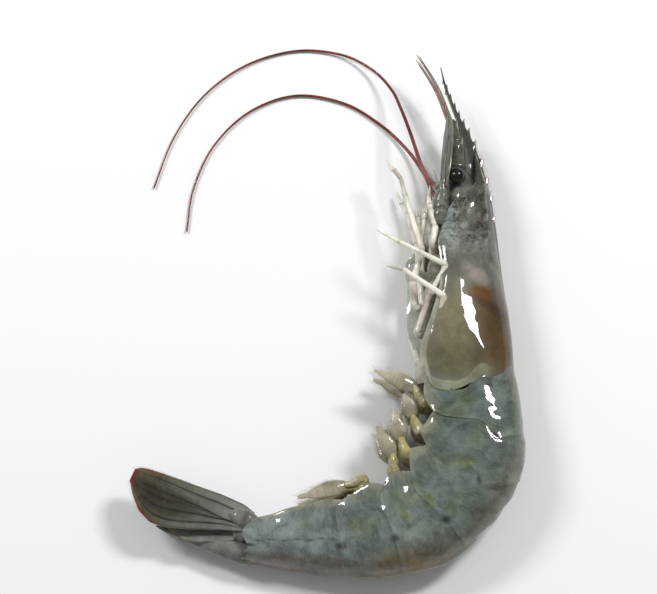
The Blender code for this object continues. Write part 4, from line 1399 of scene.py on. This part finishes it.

# %% [markdown]
# ## The breast
# Under the shield, the legs grow from a row of pale plates. Little of it shows, so it is one lumpy
# strip with a swelling for each pair of legs, and painted shade in the hollows between them.

# %% Breast
BREAST = ((6.6, -5.5, 8.6), (7.6, 8.0, 8.6), (8.8, 18.0, 8.8), (9.6, 26.0, 8.9), (10.4, 37.0, 9.2))
BREAST_ROWS = 120
SWELLINGS = 5
t = np.linspace(0, 1, BREAST_ROWS)
breast_path = curved(BREAST, BREAST_ROWS)
lump = np.sin(t * SWELLINGS * 2 * np.pi)
# painted shade in the hollows between the swellings
breast_tint = painted(breast_path, (0.40, 0.375, 0.30), ((0.17, 0.165, 0.12), rise(-lump, 0.0, 0.9)))
breast = tube(breast_path, 3.1 + 0.35 * lump - 0.9 * t, breast_tint, 0.6, 24, 1.5)
piece("breast_plates", [breast], LEG, "leg", "breast")
print("breast")

# %% [markdown]
# ## The swimming legs
# Each ring carries a pair of paddles: a thick yellow-brown stem, and two feathery branches folded
# forward. The branches are soft ringed leaves with a fringe of bristles on both edges.

# %% The swimming legs' routes
PLEOPODS = (
    ((5.3, -9.3), (3.0, -5.9), (-5.9, -2.4)),
    ((4.3, -16.0), (2.6, -12.6), (0.6, -7.8)),
    ((1.4, -21.2), (-0.2, -17.6), (-1.6, -11.8)),
    ((-1.4, -25.3), (-1.9, -21.2), (-5.4, -15.0)),
    ((-8.6, -27.2), (-12.6, -28.2), (-22.9, -31.0)),
)
PLEOPOD_SIDE = 2.9
STEM = (0.340, 0.290, 0.130)
STEM_PALE = (0.46, 0.43, 0.30)
BRANCH = (0.270, 0.245, 0.165)
BRANCH_PALE = (0.40, 0.37, 0.28)
BRANCH_GROOVE = (0.13, 0.095, 0.060)
FRINGE = (0.50, 0.45, 0.36)
BRANCH_ROWS = 60
BRANCH_RINGS = 75.0  # 2 pi times the number of rings


# %% Stems and branches
def branch(start, stop, width, height_shift, seed):
    """One ringed branch from the stem's end, with its fringe."""
    t = np.linspace(0.0, 1.0, BRANCH_ROWS)
    rings = np.sin(t * BRANCH_RINGS)
    shift = np.array((0.0, 0.0, height_shift))
    path = start + (stop - start) * t[:, None] + shift * (np.sin(t * np.pi / 2) ** 0.7)[:, None]
    radii = width * (0.65 + 0.55 * np.sin(np.pi * t**0.8)) * (1 - 0.8 * t**2) * (1 + 0.012 * rings)
    tint = painted(
        path, BRANCH,
        (BRANCH_PALE, rise(t, 0.2, 0.9)),
        (BRANCH_GROOVE, 0.15 * rise(rings, 0.3, 0.9)),
    )
    parts = [tube(path, radii, tint, 0.3, 20, 0.30, 0.10)]
    ahead = unit(np.gradient(path, axis=0))
    side = unit(np.cross(ahead, UP))
    spots = np.arange(6, BRANCH_ROWS - 1)
    for sign in (-1, 1):
        roots = path[spots] + side[spots] * (sign * radii[spots] * 0.85)[:, None]
        outward = ahead[spots] + sign * side[spots] * 0.45
        parts += hairs(roots, outward, 1.9, FRINGE, 0.03, seed=seed + sign)
    return parts


def swimming_leg(i, sign):
    height = (ABDOMEN[i][2] + ABDOMEN[i + 1][2]) / 2 + sign * PLEOPOD_SIDE
    hip, bend, tip = (np.array((x, y, height)) for x, y in PLEOPODS[i])
    belly = (ABDOMEN[i][:2] + ABDOMEN[i + 1][:2]) / 2
    root = hip + (np.array((*belly, height)) - hip) * 0.35
    path = curved([root, hip, bend], 50)
    t = np.linspace(0.0, 1.0, 50)
    radii = 1.1 + 0.35 * np.sin(t * np.pi) + 0.20 * bump_at(t, 0.5, 0.08) - 0.45 * t**3
    tint = painted(path, STEM, (STEM_PALE, 0.9 * rise(ripple(path, 2.6, 60 + i), 0.0, 0.7)))
    stem = tube(path, radii, tint, 0.7, 28, 1.2, 0.11)
    fork = bend - (bend - hip) * 0.1
    inner = bend + (tip - bend) * 0.72 + np.array((0.9, 1.3, 0.0))
    outer_branch = branch(fork, tip, 1.7, sign * 0.9, 70 + i)
    inner_branch = branch(fork, inner, 1.45, -sign * 0.9, 80 + i)
    return [stem, *outer_branch, *inner_branch]


for i in range(len(PLEOPODS)):
    for side, sign in SIDES:
        name = f"pleopod_{i + 1}_{side}"
        piece(f"swimming_leg_{i + 1}_{side}", swimming_leg(i, sign), SWIM_LEG, "pleopod", name)
print("swimming legs:", 2 * len(PLEOPODS))

# %% [markdown]
# ## The tail
# The tail fan is a pointed middle piece, the telson, and two pairs of leaves. The leaves are thin,
# stiffened by ribs and fringed with short bristles. The outer pair is darker and has a red margin.

# %% The fan's sizes
TELSON = ((-35.6, -42.3, 5.2), (-54.4, -36.2, 5.2), 5.0, 5.0)  # root, tip, depth and width
FAN = {  # root, tip, tilt
    "endopod_left": ((-35.4, -38.6, 6.4), (-52.0, -34.8, 6.6), 10.0),
    "exopod_left": ((-35.0, -36.4, 7.9), (-59.8, -26.6, 10.0), 6.0),
    "endopod_right": ((-35.4, -38.2, 3.9), (-52.4, -34.0, 3.2), -5.0),
    "exopod_right": ((-35.0, -37.0, 2.7), (-55.5, -31.0, 1.3), -3.0),
}
STRAIGHT_EDGE = (  # place along a leaf, mm out
    (0, 3.4), (0.10, 4.3), (0.30, 4.5), (0.50, 4.2), (0.75, 3.9), (0.90, 3.6), (0.97, 3.1), (1, 2.2),
)
ROUND_EDGE = (
    (0, 1.3), (0.20, 3.2), (0.40, 5.5), (0.60, 7.3), (0.72, 7.5), (0.84, 6.0), (0.94, 3.0), (1, 0.3),
)
SHARES = {"endopod_left": 0.56, "exopod_left": 1.0, "endopod_right": 0.54, "exopod_right": 0.70}
LEAF_RIBS = ((-0.50, 0.16), (0.20, 0.22), (0.55, 0.14))
LEAF_GRID = (170, 111)  # rows and columns
LEAF_HAIRS = 90
RED = (0.105, 0.010, 0.009)
TAIL_GREY = (0.052, 0.047, 0.028)
TAIL_PALE = (0.175, 0.182, 0.162)
TAIL_DARK = (0.023, 0.015, 0.004)
LINE_DARK = (0.003, 0.003, 0.002)
MARGIN_DARK = (0.028, 0.022, 0.017)


# %% The leaves' colours
TAIL_LINES = (  # place across, how far it spreads toward the tip, strength
    (-0.50, -0.10, 1.0),
    (0.20, -0.24, 1.0),
    (0.20, 0.26, 1.0),
    (0.12, 0.05, 0.6),
    (0.55, 0.20, 0.9),
)
INNER_LINES = (-0.3, 0.25)  # places across an endopod


def outer_paint(t, w, grid):
    """Colours of an exopod, t along it and w across it."""
    spread = np.sqrt(np.clip((t - 0.20) / 0.55, 0.0, 1.0))
    inner = 1 - rise(np.abs(w - 0.22), 0.30 * spread, 0.30 * spread + 0.35)
    lines = []
    for place, spreading, strength in TAIL_LINES:
        middle = place + spreading * spread + 0.03 * np.sin(9 * t + 5 * place)
        line = bump_at(w, middle, 0.030 + 0.025 * (1 - t))
        lines.append((LINE_DARK, strength * line * rise(t, 0.02, 0.15) * (1 - rise(t, 0.84, 0.97))))
    red = np.maximum(rise(np.abs(w), 0.86, 0.96) * rise(t, 0.66, 0.88), rise(t, 0.946, 0.976))
    return painted(
        grid, mottled(grid, TAIL_GREY, (0.040, 0.034, 0.017), 4.0, 50, 0.6),
        (TAIL_PALE, 0.85 * (1 - rise(t, 0.15, 0.85))),
        (TAIL_DARK, 0.85 * inner * rise(t, 0.20, 0.60)),
        *lines,
        (MARGIN_DARK, 0.85 * rise(np.abs(w), 0.88, 0.98)),
        (RED, red),
    )


def inner_paint(t, w, grid):
    """Colours of an endopod."""
    lines = [
        ((0.020, 0.020, 0.016), 0.8 * bump_at(w, place, 0.04) * rise(t, 0.05, 0.2))
        for place in INNER_LINES
    ]
    return painted(
        grid, mottled(grid, TAIL_PALE, TAIL_GREY, 4.0, 52, 0.25),
        *lines,
        ((0.045, 0.040, 0.032), 0.8 * rise(np.abs(w), 0.86, 0.98)),
        ((0.075, 0.050, 0.036), 0.8 * rise(t, 0.80, 0.97)),
    )


# %% The leaves
def leaf_knuckle(root, tip, across, ahead, size):
    """The swelling at a leaf's root."""
    path = curved([root - ahead * 3.0, root, root + (tip - root) * 0.14], 24) - across * 1.2 * size
    radii = np.interp(np.linspace(0, 1, 24), (0, 0.4, 0.8, 1), (1.5, 2.3, 1.9, 0.6))
    return tube(path, radii, mottled(path, (0.17, 0.172, 0.145), HEAD_DARK, 1.6, 51, 0.5), 1.0, 24, 0.72)


def fan_leaf(name, root, tip, tilt):
    root, tip = np.array(root), np.array(tip)
    ahead = unit(tip - root)
    toward_back = np.cross(ahead, UP)
    across = unit(-toward_back * math.cos(math.radians(tilt)) + UP * math.sin(math.radians(tilt)))
    edges = [[(t, out * SHARES[name]) for t, out in edge] for edge in (STRAIGHT_EDGE, ROUND_EDGE)]
    start = root - ahead * 1.5
    paint = inner_paint if name.startswith("endopod") else outer_paint
    blade = leaf(start, tip, across, edges, 0.7, paint, LEAF_RIBS, *LEAF_GRID)
    parts = [blade, leaf_knuckle(root, tip, across, ahead, SHARES[name])]
    t = np.linspace(0.55, 1.0, LEAF_HAIRS)
    for sign, edge in zip((-1, 1), edges):
        out = sign * bent(edge, t, 0.012) * 0.97
        roots = start + (tip - start) * t[:, None] + across * out[:, None]
        outward = ahead * 0.9 + across * sign * 0.6
        parts += hairs(roots, outward, 0.75, (0.13, 0.035, 0.03), 0.03, seed=90 + sign)
    return parts


for name, (root, tip, tilt) in FAN.items():
    piece(f"fan_{name}", fan_leaf(name, root, tip, tilt), TAIL, "tail", name)
print("fan leaves:", len(FAN))


# %% [markdown]
# The telson is three-sided, with a groove down its back and a sharp tip.

# %% Telson
def telson():
    root, tip = np.array(TELSON[0]), np.array(TELSON[1])
    depth, width = TELSON[2:]
    toward_back = np.cross(unit(tip - root), UP)
    t = np.linspace(-0.14, 1.0, 90)[:, None]
    turn = np.linspace(-np.pi, np.pi, 48, endpoint=False)[None, :]
    share = np.interp(t, (-0.14, 0, 0.35, 0.7, 0.92, 1.0), (0.9, 1.0, 0.82, 0.5, 0.22, 0.03))
    deep = np.cos(turn) * (1 - 0.16 * bump_at(turn, 0.0, 0.30))
    wide = np.sin(turn) * (0.88 + 0.12 * np.cos(turn))
    grid = root + (tip - root) * t[..., None]
    grid = grid + toward_back * (deep * share * depth / 2)[..., None]
    grid = grid + UP * (wide * share * width / 2)[..., None]
    tint = painted(
        grid, (0.165, 0.168, 0.148),
        ((0.050, 0.048, 0.034), 0.8 * rise(t, 0.5, 0.95) + 0 * turn),
        ((0.028, 0.024, 0.018), 0.7 * bump_at(np.sin(turn), 0.0, 0.10) * rise(t, 0.05, 0.2)),
    )
    return form(grid, tint)


piece("telson_spike", [telson()], TAIL, "shell", "telson")
print("telson")

# %% [markdown]
# ## The floor
# A plain pale table, large enough to fill the picture. It isn't part of the shrimp.

# %% Floor
FLOOR_SIZE = 3.0
bpy.ops.mesh.primitive_plane_add(size=FLOOR_SIZE)
floor = bpy.context.object
floor.name = "floor"
paint = bpy.data.materials.new("floor")
paint.use_nodes = True
paint.node_tree.nodes["Principled BSDF"].inputs["Base Color"].default_value = (0.86, 0.86, 0.85, 1.0)
paint.node_tree.nodes["Principled BSDF"].inputs["Roughness"].default_value = 0.7
floor.data.materials.append(paint)
